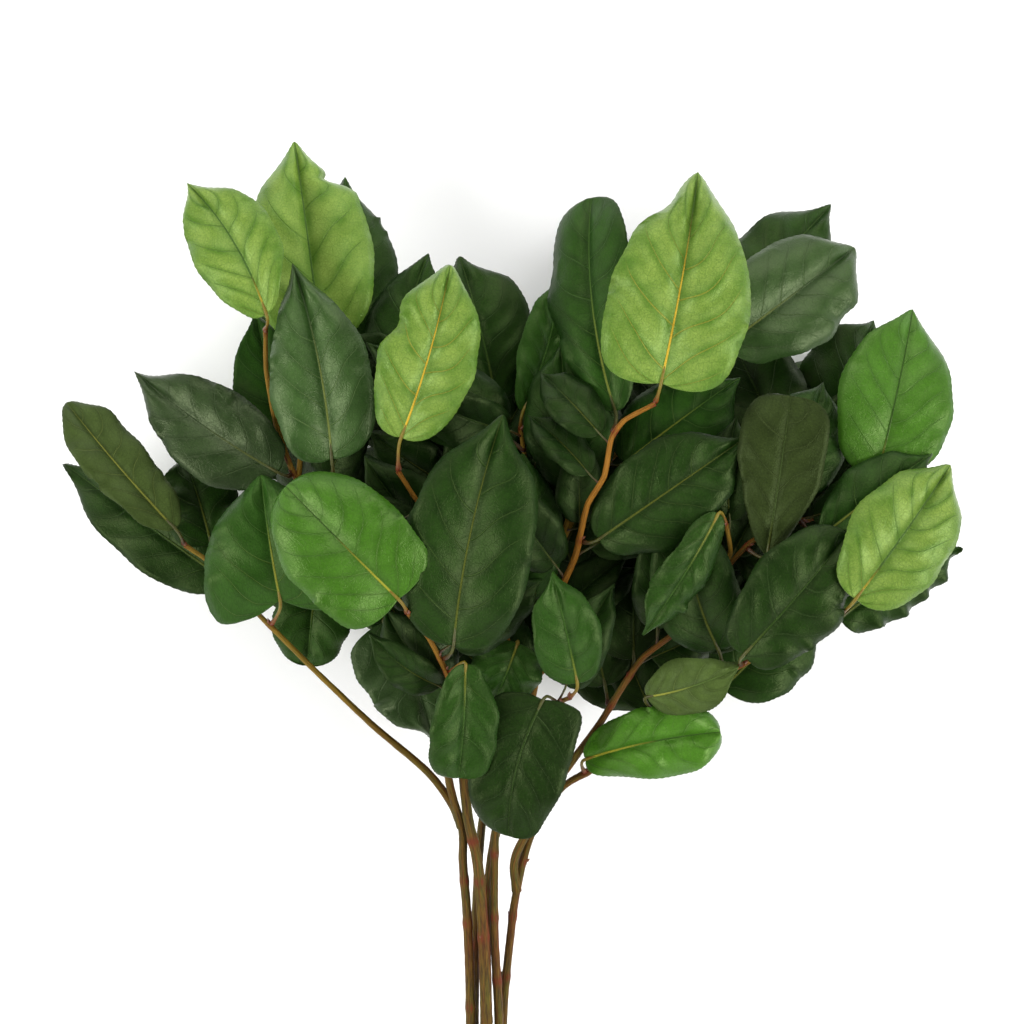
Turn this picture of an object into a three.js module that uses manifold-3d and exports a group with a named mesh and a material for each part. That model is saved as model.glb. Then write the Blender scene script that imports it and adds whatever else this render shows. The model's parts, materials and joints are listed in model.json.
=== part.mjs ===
// A tied bunch of preserved salal (lemon leaf), lying on a table.
// Cut woody stems run along +Y from the cut ends through a tie and fan out into twigs with broad leaves.
// Millimetres, +Z up. Plan positions are measured from the middle of the tie's width (X) and from the cut
// ends (Y); the finished group is moved so that its origin is the middle of its bounding box's underside.
import * as THREE from "three";
import { mergeVertices } from "three/addons/utils/BufferGeometryUtils.js";
import Module from "manifold-3d";

const wasm = await Module();
wasm.setup();

// Driving dimensions.
const BLADE_THICKNESS = 0.9;
const PETIOLE_RADIUS = 0.95;
const JOINT_GAP = 0.35; // between a petiole and its twig
const LAYER_GAP = 1.7; // upright room kept between one leaf and the next above it
const FLOOR_ROOM = 0.5; // the blade's middle plane is never nearer the table than this
const BUNDLE_SLOPE = 0.19; // rise of the tied stems per millimetre of Y
const TIE = { y: 85, halfWidth: 3.5, wall: 1.3, gap: 0.4, sides: 40 };
const STEM_SIDES = 7;
const TWIG_STEP = 15; // length of one straight piece of a stem or twig
const JOINT_SET_BACK = 5; // a petiole leaves its twig this far behind the point nearest the blade
const PETIOLE_NECK = 2.2; // length of the petiole's straight end, in line with the blade
const PETIOLE_FLATNESS = 0.85; // a petiole's height over its width
const OUTLINE = { base: 0.52, tip: 0.82 }; // how slowly the blade widens from each end: 0 at once, 1 evenly
const NARROWEST = 0.5; // the blade's half width at its very ends

const COLOURS = {
  dark: 0x24421f,
  grey: 0x3b5040,
  mid: 0x3d7426,
  bright: 0x4c8f28,
  light: 0x86b04a,
  olive: 0x55702f,
  under: 0x2a4a22,
  bark: 0x6d5227,
  tie: 0xb9a27a,
};

// Each stem is one grown piece: a leader from the cut end, and the twigs that fork from it.
// route: points on the centreline; radius: at the first and at the last point.
const STEMS = {
  stem_left: {
    long_left: {
      radius: [2.5, 1.2],
      route: [
        [-7.2, 3, 9.4], [-7.2, 60, 20.2], [-7.2, 110, 29.8], [-8.5, 150, 37.4], [-10.4, 176, 42.6],
        [-11, 191, 46], [-22, 211, 52], [-50, 236, 57], [-74, 259, 60], [-88, 273, 61], [-106, 291, 60],
        [-118, 304, 58], [-128, 311, 59],
      ],
    },
    front_left: {
      radius: [1.9, 1.2],
      route: [
        [-11, 191, 46], [-16, 210, 55], [-18, 230, 66], [-15, 252, 81], [-24, 272, 92], [-33, 283, 100],
      ],
    },
  },
  stem_upper_left: {
    upper_left: {
      radius: [3, 1.2],
      route: [
        [-0.6, 8, 13.6], [-0.6, 60, 23.5], [-0.6, 110, 33], [-2, 150, 40.6], [-4.5, 178, 47],
        [-8, 194, 50], [-11, 218, 53], [-20, 255, 57], [-38, 292, 60], [-58, 320, 62], [-80, 338, 66],
        [-89, 362, 70], [-93, 385, 74], [-93, 401, 79],
      ],
    },
    upper_left_front: {
      radius: [1.7, 1.2],
      route: [[-38, 292, 60], [-50, 312, 68], [-60, 328, 74], [-64, 338, 79]],
    },
    upper_left_back: {
      radius: [1.6, 1.1],
      route: [[-80, 338, 66], [-77, 362, 63], [-69, 386, 59]],
    },
  },
  stem_middle: {
    middle: {
      radius: [2.3, 1.2],
      route: [
        [5.2, 0, 9.3], [5.2, 60, 20.6], [4.8, 110, 30.2], [3, 145, 37], [3, 178, 44], [4, 196, 48],
        [6, 216, 52], [10, 245, 60], [8, 275, 66], [0, 300, 73], [-14, 314, 81], [-28, 328, 91],
        [-37, 342, 98],
      ],
    },
    middle_back: {
      radius: [1.7, 1.1],
      route: [[8, 275, 66], [4, 305, 60], [0, 335, 56], [3, 362, 58]],
    },
    middle_left: {
      radius: [1.5, 1.1],
      route: [[4, 305, 60], [-12, 332, 58], [-28, 352, 60], [-40, 367, 62]],
    },
  },
  stem_right: {
    right: {
      radius: [2.4, 1.3],
      route: [
        [0, 6, 6.8], [0, 60, 16.9], [0, 110, 26.3], [-0.4, 150, 33.6], [2, 180, 37.6], [8, 205, 43],
        [15, 228, 50], [20, 250, 58], [25, 280, 64], [31, 312, 70], [36, 328, 75],
      ],
    },
    right_front: {
      radius: [1.9, 1.2],
      route: [
        [25, 280, 64], [37, 306, 79], [42, 328, 91], [49, 340, 97], [52, 356, 101], [57, 363, 103],
        [70, 370, 106],
      ],
    },
    right_upper: {
      radius: [1.7, 1.1],
      route: [[31, 312, 70], [46, 340, 66], [70, 366, 67], [92, 388, 72]],
    },
    right_short: {
      radius: [1.4, 1.1],
      route: [[17, 238, 53], [26, 243, 66], [35, 247, 78]],
    },
    right_middle: {
      radius: [1.5, 1.1],
      route: [[27, 292, 66], [23, 325, 64], [16, 348, 67], [14, 360, 70]],
    },
  },
  stem_far_right: {
    far_right: {
      radius: [2.1, 1.2],
      route: [
        [6, 12, 5.4], [6, 60, 14.5], [6.8, 110, 24], [10, 145, 31], [12.5, 163, 35], [19, 188, 41],
        [31, 207, 46], [45, 216, 50], [60, 226, 54], [76, 239, 61], [90, 249, 69], [104, 259, 76],
        [122, 268, 80], [136, 273, 84], [148, 282, 89],
      ],
    },
    right_side: {
      radius: [1.9, 1.2],
      route: [
        [12.5, 163, 35], [11.5, 176, 41], [17, 189, 47], [28, 208, 52], [38, 222, 55], [48, 236, 60],
        [57, 251, 66], [66, 264, 70], [80, 275, 74], [96, 296, 80], [110, 312, 84], [124, 320, 84],
        [140, 323, 81], [157, 331, 78],
      ],
    },
    right_side_front: {
      radius: [1.5, 1.1],
      route: [[96, 296, 80], [102, 308, 86], [100, 320, 91]],
    },
    right_side_back: {
      radius: [1.5, 1.1],
      route: [[124, 320, 84], [133, 342, 72], [139, 355, 62]],
    },
  },
  stem_under: {
    under: {
      radius: [2.4, 1.3],
      route: [
        [-5.9, 2, 2.9], [-5.9, 60, 13.9], [-5.7, 110, 23.4], [-5, 150, 29.4], [-3, 185, 32.6],
        [2, 225, 35], [4, 262, 37], [0, 300, 38], [-8, 335, 36],
      ],
    },
    under_left: {
      radius: [1.8, 1.2],
      route: [[2, 225, 35], [-20, 252, 36], [-46, 280, 34], [-70, 305, 30], [-86, 326, 26]],
    },
    under_right: {
      radius: [1.8, 1.2],
      route: [[3, 242, 36], [30, 262, 37], [60, 286, 34], [92, 306, 30], [118, 328, 26]],
    },
    under_top: {
      radius: [1.6, 1.2],
      route: [[0, 300, 38], [18, 335, 36], [34, 368, 30], [40, 386, 26]],
    },
    under_far: {
      radius: [1.5, 1.2],
      route: [[-4, 318, 37], [-24, 350, 32], [-38, 380, 26]],
    },
  },
};

// The leaves, from the lowest to the uppermost.
// name, twig, blade's base, blade's tip, width, colour, and what bends the blade, in degrees or millimetres:
//   roll: turns the blade about its length, right side down; fold: raises both halves from the midrib;
//   camber: lifts the midrib's middle off the straight line; bend: moves it to the right;
//   twist: turns the tip more than the base; round: 1 for an egg-shaped base, less for a rounder one,
//   more for a tapered one; rests: the blade touches the table.
const LEAVES = [
  ["under_leaf_1", "under_left", [-52, 288, 25], [-106, 314, 4], 42, "under", { camber: 6, rests: true }],
  ["under_leaf_2", "under_left", [-86, 337, 20], [-90, 420, 4], 42, "under", { camber: 7, rests: true }],
  ["under_leaf_3", "under", [-9, 345, 29], [-8, 420, 4], 38, "under", { camber: 7, rests: true }],
  ["under_leaf_4", "under_top", [43, 394, 20], [54, 450, 5], 38, "under", { camber: 5, rests: true }],
  ["under_leaf_5", "under_right", [86, 316, 24], [102, 394, 4], 42, "under", { camber: 7, rests: true }],
  [
    "under_leaf_6", "under_right", [122, 338, 20], [148, 396, 4], 36, "under",
    { camber: 5, roll: 6, rests: true },
  ],
  ["under_leaf_7", "under_right", [127, 323, 20], [184, 338, 3], 28, "under", { camber: 6, rests: true }],
  ["under_leaf_8", "under_right", [100, 294, 23], [160, 286, 4], 34, "under", { camber: 6, rests: true }],
  ["under_leaf_9", "under_left", [-73, 298, 39], [-77, 259, 34], 34, "mid", { camber: 3, round: 0.8 }],
  [
    "long_left_leaf_1", "long_left", [-110, 295, 50], [-182, 346, 26], 35, "dark",
    { camber: 6, twist: -14 },
  ],
  [
    "long_left_leaf_2", "long_left", [-117, 311, 54], [-130, 350, 42], 34, "dark",
    { roll: 14, camber: 4 },
  ],
  [
    "upper_left_leaf_1", "upper_left_back", [-59, 392, 52], [-61, 469, 30], 44, "dark",
    { roll: 14, camber: 6 },
  ],
  ["upper_left_leaf_4", "upper_left", [-85, 353, 59], [-99, 411, 50], 34, "dark", { roll: 8, camber: 3 }],
  [
    "far_right_leaf_1", "far_right", [148, 280, 76], [202, 310, 48], 26, "dark",
    { roll: 6, twist: 14, camber: 4, bend: -3 },
  ],
  [
    "right_upper_leaf_1", "right_upper", [98, 401, 68], [147, 456, 40], 40, "dark",
    { roll: -10, camber: 6 },
  ],
  [
    "right_side_leaf_1", "right_side_back", [143, 361, 58], [165, 407, 40], 42, "dark",
    { camber: 5, roll: 8 },
  ],
  [
    "upper_left_leaf_2", "upper_left", [-44, 279, 67], [-23, 228, 60], 44, "grey",
    { camber: 5, roll: -8, bend: -2 },
  ],
  ["middle_leaf_1", "middle_back", [4, 371, 60], [-12, 434, 50], 44, "dark", { camber: 7, roll: 10 }],
  ["middle_leaf_2", "middle_left", [-42, 374, 64], [-25, 435, 56], 34, "dark", { roll: -18, camber: 4 }],
  [
    "upper_left_leaf_3", "upper_left_back", [-70, 396, 63], [-82, 483, 48], 54, "light",
    { camber: 7, roll: 3, twist: 10, fold: 6 },
  ],
  ["far_right_leaf_2", "far_right", [99, 250, 64], [138, 288, 58], 42, "dark", { camber: 4 }],
  [
    "far_right_leaf_3", "far_right", [41, 220, 58], [99, 232, 64], 28, "mid",
    { fold: 10, camber: 4, bend: -2, round: 1.2 },
  ],
  [
    "right_side_leaf_4", "right_side", [126, 335, 88], [142, 380, 72], 36, "dark",
    { roll: 10, camber: 4 },
  ],
  [
    "long_left_leaf_4", "long_left", [-131, 317, 66], [-179, 372, 50], 30, "olive",
    { roll: 24, camber: 5, fold: 10, bend: -3 },
  ],
  [
    "upper_left_leaf_5", "upper_left", [-87, 341, 72], [-150, 385, 54], 40, "grey",
    { camber: 6, fold: 6, bend: -2, round: 1.2 },
  ],
  [
    "long_left_leaf_3", "long_left", [-87, 287, 70], [-95, 341, 74], 60, "mid",
    { roll: -8, camber: 4, round: 0.7 },
  ],
  [
    "upper_left_leaf_7", "upper_left_front", [-65, 346, 84], [-82, 430, 79], 44, "grey",
    { camber: 6, fold: 8, bend: 3 },
  ],
  [
    "upper_left_leaf_6", "upper_left", [-92, 407, 85], [-127, 464, 68], 38, "light",
    { roll: -8, camber: 5, fold: 6, bend: 5, round: 1.4 },
  ],
  [
    "right_leaf_1", "right_middle", [15, 367, 74], [31, 424, 62], 24, "mid",
    { roll: 30, bend: 3, round: 1.3 },
  ],
  ["right_side_leaf_10", "right_side", [50, 251, 57], [40, 294, 52], 32, "dark", { camber: 3, roll: 6 }],
  ["right_side_leaf_9", "right_side", [62, 262, 60], [62, 314, 56], 36, "dark", { camber: 3 }],
  [
    "right_upper_leaf_3", "right_upper", [57, 345, 76], [107, 382, 70], 38, "dark",
    { camber: 4, roll: -8 },
  ],
  ["right_leaf_2", "right", [38, 335, 80], [31, 396, 76], 38, "dark", { roll: -14, camber: 3 }],
  ["middle_leaf_3", "middle", [13, 270, 75], [2, 243, 66], 30, "mid", { camber: 3, roll: -8 }],
  ["right_leaf_3", "right", [15, 287, 71], [15, 350, 78], 34, "dark", { roll: 14, camber: 3 }],
  [
    "right_front_leaf_1", "right_front", [54, 366, 92], [44, 458, 72], 38, "dark",
    { roll: -20, camber: 6, bend: -3, round: 1.2 },
  ],
  [
    "right_front_leaf_2", "right_front", [46, 313, 87], [108, 356, 92], 42, "dark",
    { camber: 4, fold: 5, round: 1.2 },
  ],
  [
    "right_upper_leaf_2", "right_upper", [99, 394, 80], [156, 437, 60], 47, "grey",
    { camber: 7, fold: 5, twist: -10 },
  ],
  [
    "right_side_leaf_2", "right_side", [163, 337, 77], [180, 411, 60], 50, "bright",
    { camber: 6, roll: 4, twist: 8, fold: 4 },
  ],
  [
    "right_side_leaf_3", "right_side", [140, 315, 88], [187, 350, 78], 30, "dark",
    { roll: -10, twist: -14, camber: 3, round: 1.3 },
  ],
  ["right_side_leaf_5", "right_side", [86, 270, 72], [113, 301, 62], 34, "dark", { camber: 3 }],
  [
    "right_side_leaf_6", "right_side_front", [97, 325, 93], [65, 273, 86], 26, "mid",
    { roll: -18, camber: 4, round: 1.2 },
  ],
  ["right_side_leaf_7", "right_side", [117, 306, 90], [127, 374, 96], 37, "olive", { camber: 5 }],
  [
    "right_side_leaf_8", "far_right", [67, 247, 68], [106, 260, 80], 22, "olive",
    { roll: 24, camber: 4, round: 1.2 },
  ],
  [
    "far_right_leaf_5", "far_right", [107, 265, 86], [151, 316, 90], 43, "dark",
    { camber: 5, fold: 3, roll: 6 },
  ],
  [
    "far_right_leaf_4", "far_right", [153, 288, 96], [194, 345, 86], 44, "light",
    { camber: 5, fold: 6, roll: 6 },
  ],
  [
    "right_short_leaf_1", "right_short", [24, 247, 82], [9, 188, 73], 44, "dark",
    { camber: 5, bend: 4, round: 0.7 },
  ],
  [
    "front_left_leaf_1", "front_left", [-9, 262, 88], [-12, 213, 79], 32, "mid",
    { roll: -16, fold: 14, camber: 3 },
  ],
  [
    "right_short_leaf_2", "right_short", [38, 253, 86], [27, 300, 100], 29, "mid",
    { roll: -12, fold: 10, camber: 3, bend: 1 },
  ],
  [
    "front_left_leaf_2", "front_left", [-14, 268, 95], [7, 366, 104], 56, "dark",
    { camber: 6, fold: 8, bend: -3 },
  ],
  [
    "front_left_leaf_3", "front_left", [-36, 288, 105], [-84, 336, 102], 55, "bright",
    { camber: 6, fold: 4, round: 0.7 },
  ],
  [
    "middle_leaf_4", "middle", [-36, 355, 103], [-15, 428, 108], 41, "light",
    { camber: 6, fold: 8, bend: 2 },
  ],
  [
    "right_front_leaf_3", "right_front", [72, 377, 111], [88, 467, 102], 63, "light",
    { camber: 8, fold: 6, bend: 1, round: 0.75 },
  ],
];

const vector = (p) => new THREE.Vector3(...p);
const radians = THREE.MathUtils.degToRad;

// A closed surface lofted through rings of equal point count, capped at both ends.
function loft(rings) {
  const sides = rings[0].length;
  const positions = rings.flat().flatMap((p) => [p.x, p.y, p.z]);
  const index = [];
  for (let r = 0; r + 1 < rings.length; r++)
    for (let s = 0; s < sides; s++) {
      const [a, b] = [r * sides + s, r * sides + ((s + 1) % sides)];
      index.push(a, b, b + sides, a, b + sides, a + sides);
    }
  const last = (rings.length - 1) * sides;
  for (let s = 2; s <= sides - 1; s++) {
    const next = (s + 1) % sides; // a cap's triangles meet at its point 1, never in line with the other two
    index.push(1, next, s, last + 1, last + s, last + next);
  }
  return new THREE.BufferGeometry()
    .setAttribute("position", new THREE.Float32BufferAttribute(positions, 3))
    .setIndex(index);
}

// ---- Stems ----

const curveOf = (route) => new THREE.CatmullRomCurve3(route.map(vector), false, "centripetal");

function shootGeometry({ route, radius }) {
  const curve = curveOf(route);
  const steps = Math.max(3, Math.round(curve.getLength() / TWIG_STEP));
  const frames = curve.computeFrenetFrames(steps);
  const rings = [];
  for (let i = 0; i <= steps; i++) {
    const centre = curve.getPointAt(i / steps);
    const r = THREE.MathUtils.lerp(radius[0], radius[1], i / steps);
    rings.push(
      Array.from({ length: STEM_SIDES }, (_, s) => {
        const a = (2 * Math.PI * s) / STEM_SIDES;
        return centre
          .clone()
          .addScaledVector(frames.normals[i], r * Math.cos(a))
          .addScaledVector(frames.binormals[i], r * Math.sin(a));
      }),
    );
  }
  return loft(rings);
}

function solid(geometry) {
  const merged = mergeVertices(geometry, 1e-4);
  return new wasm.Manifold(
    new wasm.Mesh({
      numProp: 3,
      vertProperties: merged.attributes.position.array,
      triVerts: new Uint32Array(merged.index.array),
    }),
  );
}

function geometryOf(manifold) {
  const { vertProperties, triVerts } = manifold.getMesh();
  return new THREE.BufferGeometry()
    .setAttribute("position", new THREE.BufferAttribute(vertProperties, 3))
    .setIndex(new THREE.BufferAttribute(triVerts, 1));
}

const stemGeometry = (shoots) =>
  geometryOf(
    Object.values(shoots)
      .map((shoot) => solid(shootGeometry(shoot)))
      .reduce((whole, twig) => whole.add(twig)),
  );

// ---- Leaves ----

const TWIGS = Object.assign({}, ...Object.values(STEMS));

const SLANT_LIMIT = 0.3; // sine of the flattest angle at which a petiole leaves its twig

// Where a leaf grows from its twig: a little behind the point nearest its base, or the twig's very end.
function jointOf(twigName, base) {
  const { route, radius } = TWIGS[twigName];
  const curve = curveOf(route);
  const length = curve.getLength();
  const steps = Math.ceil(length / 2);
  let nearest = 0;
  for (let i = 1; i <= steps; i++)
    if (curve.getPointAt(i / steps).distanceTo(base) < curve.getPointAt(nearest / steps).distanceTo(base))
      nearest = i;
  const atEnd = nearest === steps;
  const u = atEnd ? 1 : Math.max(0, nearest / steps - JOINT_SET_BACK / length);
  const centre = curve.getPointAt(u);
  const tangent = curve.getTangentAt(u);
  const out = base.clone().sub(centre).normalize();
  const r = THREE.MathUtils.lerp(radius[0], radius[1], u);
  const across = Math.max(SLANT_LIMIT, out.clone().cross(tangent).length());
  const reach = atEnd ? JOINT_GAP + PETIOLE_RADIUS * across : (r + JOINT_GAP + PETIOLE_RADIUS) / across;
  return centre.addScaledVector(out, reach + (atEnd ? r * across : 0));
}

const outline = (t, round) => {
  const [a, b] = [OUTLINE.base * round, OUTLINE.tip];
  const peak = a / (a + b);
  return (t ** a * (1 - t) ** b) / (peak ** a * (1 - peak) ** b);
};

// The blade's middle surface: t runs from base to tip, v from -1 at the left edge to 1 at the right edge.
function bladeShape([, , base, tip, width, , bends]) {
  const { roll = 0, fold = 0, camber = 0, bend = 0, twist = 0, round = 1 } = bends;
  const start = vector(base);
  const chord = vector(tip).sub(start);
  const along = chord.clone().normalize();
  const level = new THREE.Vector3(0, 0, 1).projectOnPlane(along).normalize();
  const up = level.clone().applyAxisAngle(along, radians(roll));
  const normalAt = (t) => up.clone().applyAxisAngle(along, radians(twist * t));
  const halfWidth = (t) => Math.max(NARROWEST, (width / 2) * outline(t, round));
  const point = (t, v) => {
    const arch = 4 * t * (1 - t);
    const out = halfWidth(t) * v;
    return start
      .clone()
      .addScaledVector(chord, t)
      .addScaledVector(up, camber * arch)
      .addScaledVector(along.clone().cross(up), bend * arch)
      .addScaledVector(along.clone().cross(normalAt(t)), out * Math.cos(radians(fold)))
      .addScaledVector(normalAt(t), Math.abs(out) * Math.sin(radians(fold)));
  };
  return { point, normalAt, along };
}

const STATIONS = [0.01, 0.08, 0.22, 0.4, 0.6, 0.8, 0.93, 0.995]; // where the blade's cross sections are

function leafGeometry(row, lift) {
  const { point, normalAt, along } = bladeShape(row);
  const raise = new THREE.Vector3(0, 0, lift);
  const half = BLADE_THICKNESS / 2;
  const ring = (points, normal, halfThickness) => [
    ...points.map((p) => p.clone().addScaledVector(normal, halfThickness)),
    ...points.toReversed().map((p) => p.clone().addScaledVector(normal, -halfThickness)),
  ];
  const blade = STATIONS.map((t) => ring([-1, 0, 1].map((v) => point(t, v).add(raise)), normalAt(t), half));

  const base = point(0, 0).add(raise);
  const root = jointOf(row[1], base);
  const neck = base.clone().addScaledVector(along, -PETIOLE_NECK);
  const bend = neck.clone().lerp(root, 0.35).addScaledVector(along, -1);
  const petiole = new THREE.QuadraticBezierCurve3(root, bend, neck);
  const stalk = [0, 0.5, 1].map((u) => {
    const centre = petiole.getPoint(u);
    const direction = petiole.getTangent(u);
    const normal = normalAt(0).projectOnPlane(direction).normalize();
    const right = direction.clone().cross(normal);
    const points = [-1, 0, 1].map((v) => centre.clone().addScaledVector(right, v * PETIOLE_RADIUS));
    return ring(points, normal, PETIOLE_RADIUS * PETIOLE_FLATNESS);
  });
  return loft([...stalk, ...blade]);
}

// ---- Heights: a leaf lies at its own height or, if that is too low, just clear of the leaves before it ----

const CELL = 3; // side of one cell of the plan on which the heights are compared
const SAMPLES = { along: 80, across: 40 };
const CELLS_PER_COLUMN = 4096;

function footprint(row) {
  const { point } = bladeShape(row);
  const cells = new Map();
  for (let i = 1; i <= SAMPLES.along; i++)
    for (let j = 0; j <= SAMPLES.across; j++) {
      const p = point(i / SAMPLES.along, (2 * j) / SAMPLES.across - 1);
      const key = Math.floor(p.x / CELL) * CELLS_PER_COLUMN + Math.floor(p.y / CELL);
      const seen = cells.get(key) ?? { low: Infinity, high: -Infinity };
      seen.low = Math.min(seen.low, p.z);
      seen.high = Math.max(seen.high, p.z);
      cells.set(key, seen);
    }
  return cells;
}

function liftsOf(rows) {
  const placed = [];
  for (const row of rows) {
    const cells = footprint(row);
    const toFloor = FLOOR_ROOM - Math.min(...[...cells.values()].map((cell) => cell.low));
    let lift = row[6].rests ? toFloor : Math.max(0, toFloor);
    for (const other of placed)
      for (const [key, cell] of cells) {
        const below = other.cells.get(key);
        if (below) lift = Math.max(lift, below.high + other.lift + LAYER_GAP - cell.low);
      }
    placed.push({ cells, lift });
  }
  return placed.map(({ lift }) => lift);
}

// ---- The tie: a band drawn tight around the stems ----

function tieMesh() {
  const centres = Object.values(STEMS).map((shoots) => {
    const { route, radius } = Object.values(shoots)[0];
    const before = vector(route[1]);
    const after = vector(route[2]);
    const share = (TIE.y - before.y) / (after.y - before.y);
    return { at: before.lerp(after, share), r: radius[0] };
  });
  const middle = centres
    .reduce((sum, { at }) => sum.add(at), new THREE.Vector3())
    .divideScalar(centres.length);
  const around = Array.from({ length: TIE.sides }, (_, i) => (2 * Math.PI * i) / TIE.sides);
  const offset = (at, a) => (at.x - middle.x) * Math.cos(a) + (at.z - middle.z) * Math.sin(a);
  const support = around.map((a) => Math.max(...centres.map(({ at, r }) => offset(at, a) + r + TIE.gap)));
  const facing = (a, b) => Math.cos(a - b) > 0.2; // lines turned farther away never bound the outline
  const reach = (a) =>
    Math.min(...around.map((b, i) => (facing(a, b) ? support[i] / Math.cos(a - b) : Infinity)));
  const outlinePath = (extra) =>
    around.map((a) => new THREE.Vector2((reach(a) + extra) * Math.cos(a), (reach(a) + extra) * Math.sin(a)));
  const shape = new THREE.Shape(outlinePath(TIE.wall));
  shape.holes.push(new THREE.Path(outlinePath(0)));
  const band = new THREE.ExtrudeGeometry(shape, { depth: 2 * TIE.halfWidth, bevelEnabled: false, steps: 1 });
  band.translate(0, 0, -TIE.halfWidth);
  const mesh = meshOf("tie", band, "tie");
  mesh.position.copy(middle);
  mesh.rotation.x = Math.PI / 2 + Math.atan(BUNDLE_SLOPE);
  return mesh;
}

// ---- Assembly ----

function meshOf(name, geometry, colour) {
  const material = new THREE.MeshStandardMaterial({ color: COLOURS[colour], roughness: 0.55, metalness: 0 });
  const mesh = new THREE.Mesh(geometry, material);
  mesh.name = name;
  return mesh;
}

const bunch = new THREE.Group();
for (const [name, shoots] of Object.entries(STEMS)) bunch.add(meshOf(name, stemGeometry(shoots), "bark"));
bunch.add(tieMesh());
const lifts = liftsOf(LEAVES);
LEAVES.forEach((row, i) => bunch.add(meshOf(row[0], leafGeometry(row, lifts[i]), row[5])));

bunch.updateMatrixWorld(true);
const box = new THREE.Box3().setFromObject(bunch, true);
const centre = box.getCenter(new THREE.Vector3());
bunch.position.set(-centre.x, -centre.y, -box.min.z);

export default bunch;
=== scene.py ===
import json
import math
import random
from collections import namedtuple

import bpy
import numpy as np
from bpy.props import FloatProperty, FloatVectorProperty, IntProperty, PointerProperty
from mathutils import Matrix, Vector
from mathutils.bvhtree import BVHTree


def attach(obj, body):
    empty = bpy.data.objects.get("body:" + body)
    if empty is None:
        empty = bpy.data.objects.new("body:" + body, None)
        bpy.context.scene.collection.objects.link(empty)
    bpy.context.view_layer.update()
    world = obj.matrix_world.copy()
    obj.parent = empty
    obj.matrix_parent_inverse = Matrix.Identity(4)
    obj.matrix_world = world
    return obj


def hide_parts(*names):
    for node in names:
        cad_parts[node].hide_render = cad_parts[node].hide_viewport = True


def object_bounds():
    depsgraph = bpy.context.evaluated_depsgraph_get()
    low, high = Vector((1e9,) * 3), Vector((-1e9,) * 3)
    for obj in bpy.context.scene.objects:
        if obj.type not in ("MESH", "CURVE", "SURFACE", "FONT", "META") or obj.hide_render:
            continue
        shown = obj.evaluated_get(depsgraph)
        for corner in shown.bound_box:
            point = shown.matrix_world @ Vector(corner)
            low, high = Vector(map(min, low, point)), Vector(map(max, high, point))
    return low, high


bl_info = {
    "name": "Preserved salal bunch",
    "version": (1, 0, 0),
    "blender": (4, 5, 0),
    "location": "3D View > Sidebar > Salal",
    "description": "Leaves, twigs, buds and twine of a lying bunch of preserved salal",
    "category": "Object",
}

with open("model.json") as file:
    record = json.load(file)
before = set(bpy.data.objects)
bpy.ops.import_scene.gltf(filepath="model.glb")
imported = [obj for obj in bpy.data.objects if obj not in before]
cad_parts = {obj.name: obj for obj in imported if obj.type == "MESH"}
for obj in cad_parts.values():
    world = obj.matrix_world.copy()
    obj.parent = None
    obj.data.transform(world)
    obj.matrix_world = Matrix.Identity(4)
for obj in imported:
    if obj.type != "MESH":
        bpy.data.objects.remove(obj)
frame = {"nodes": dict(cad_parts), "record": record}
CAD_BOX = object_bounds()

MM = 0.001
BODY = "root"
SLOTS = {part["node"]: part["material_slot"] for part in frame["record"]["subparts"]}
LEAF_NODES = [node for node in SLOTS if "_leaf_" in node]
STEM_NODES = [node for node in SLOTS if node.startswith("stem")]

# ---- The twigs' routes, as the frame's stems have them ----

# Where the middle of the cut ends' line lies in the frame, in millimetres.
CUT_MIDDLE = (-10.0, -241.2, -0.2)

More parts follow.
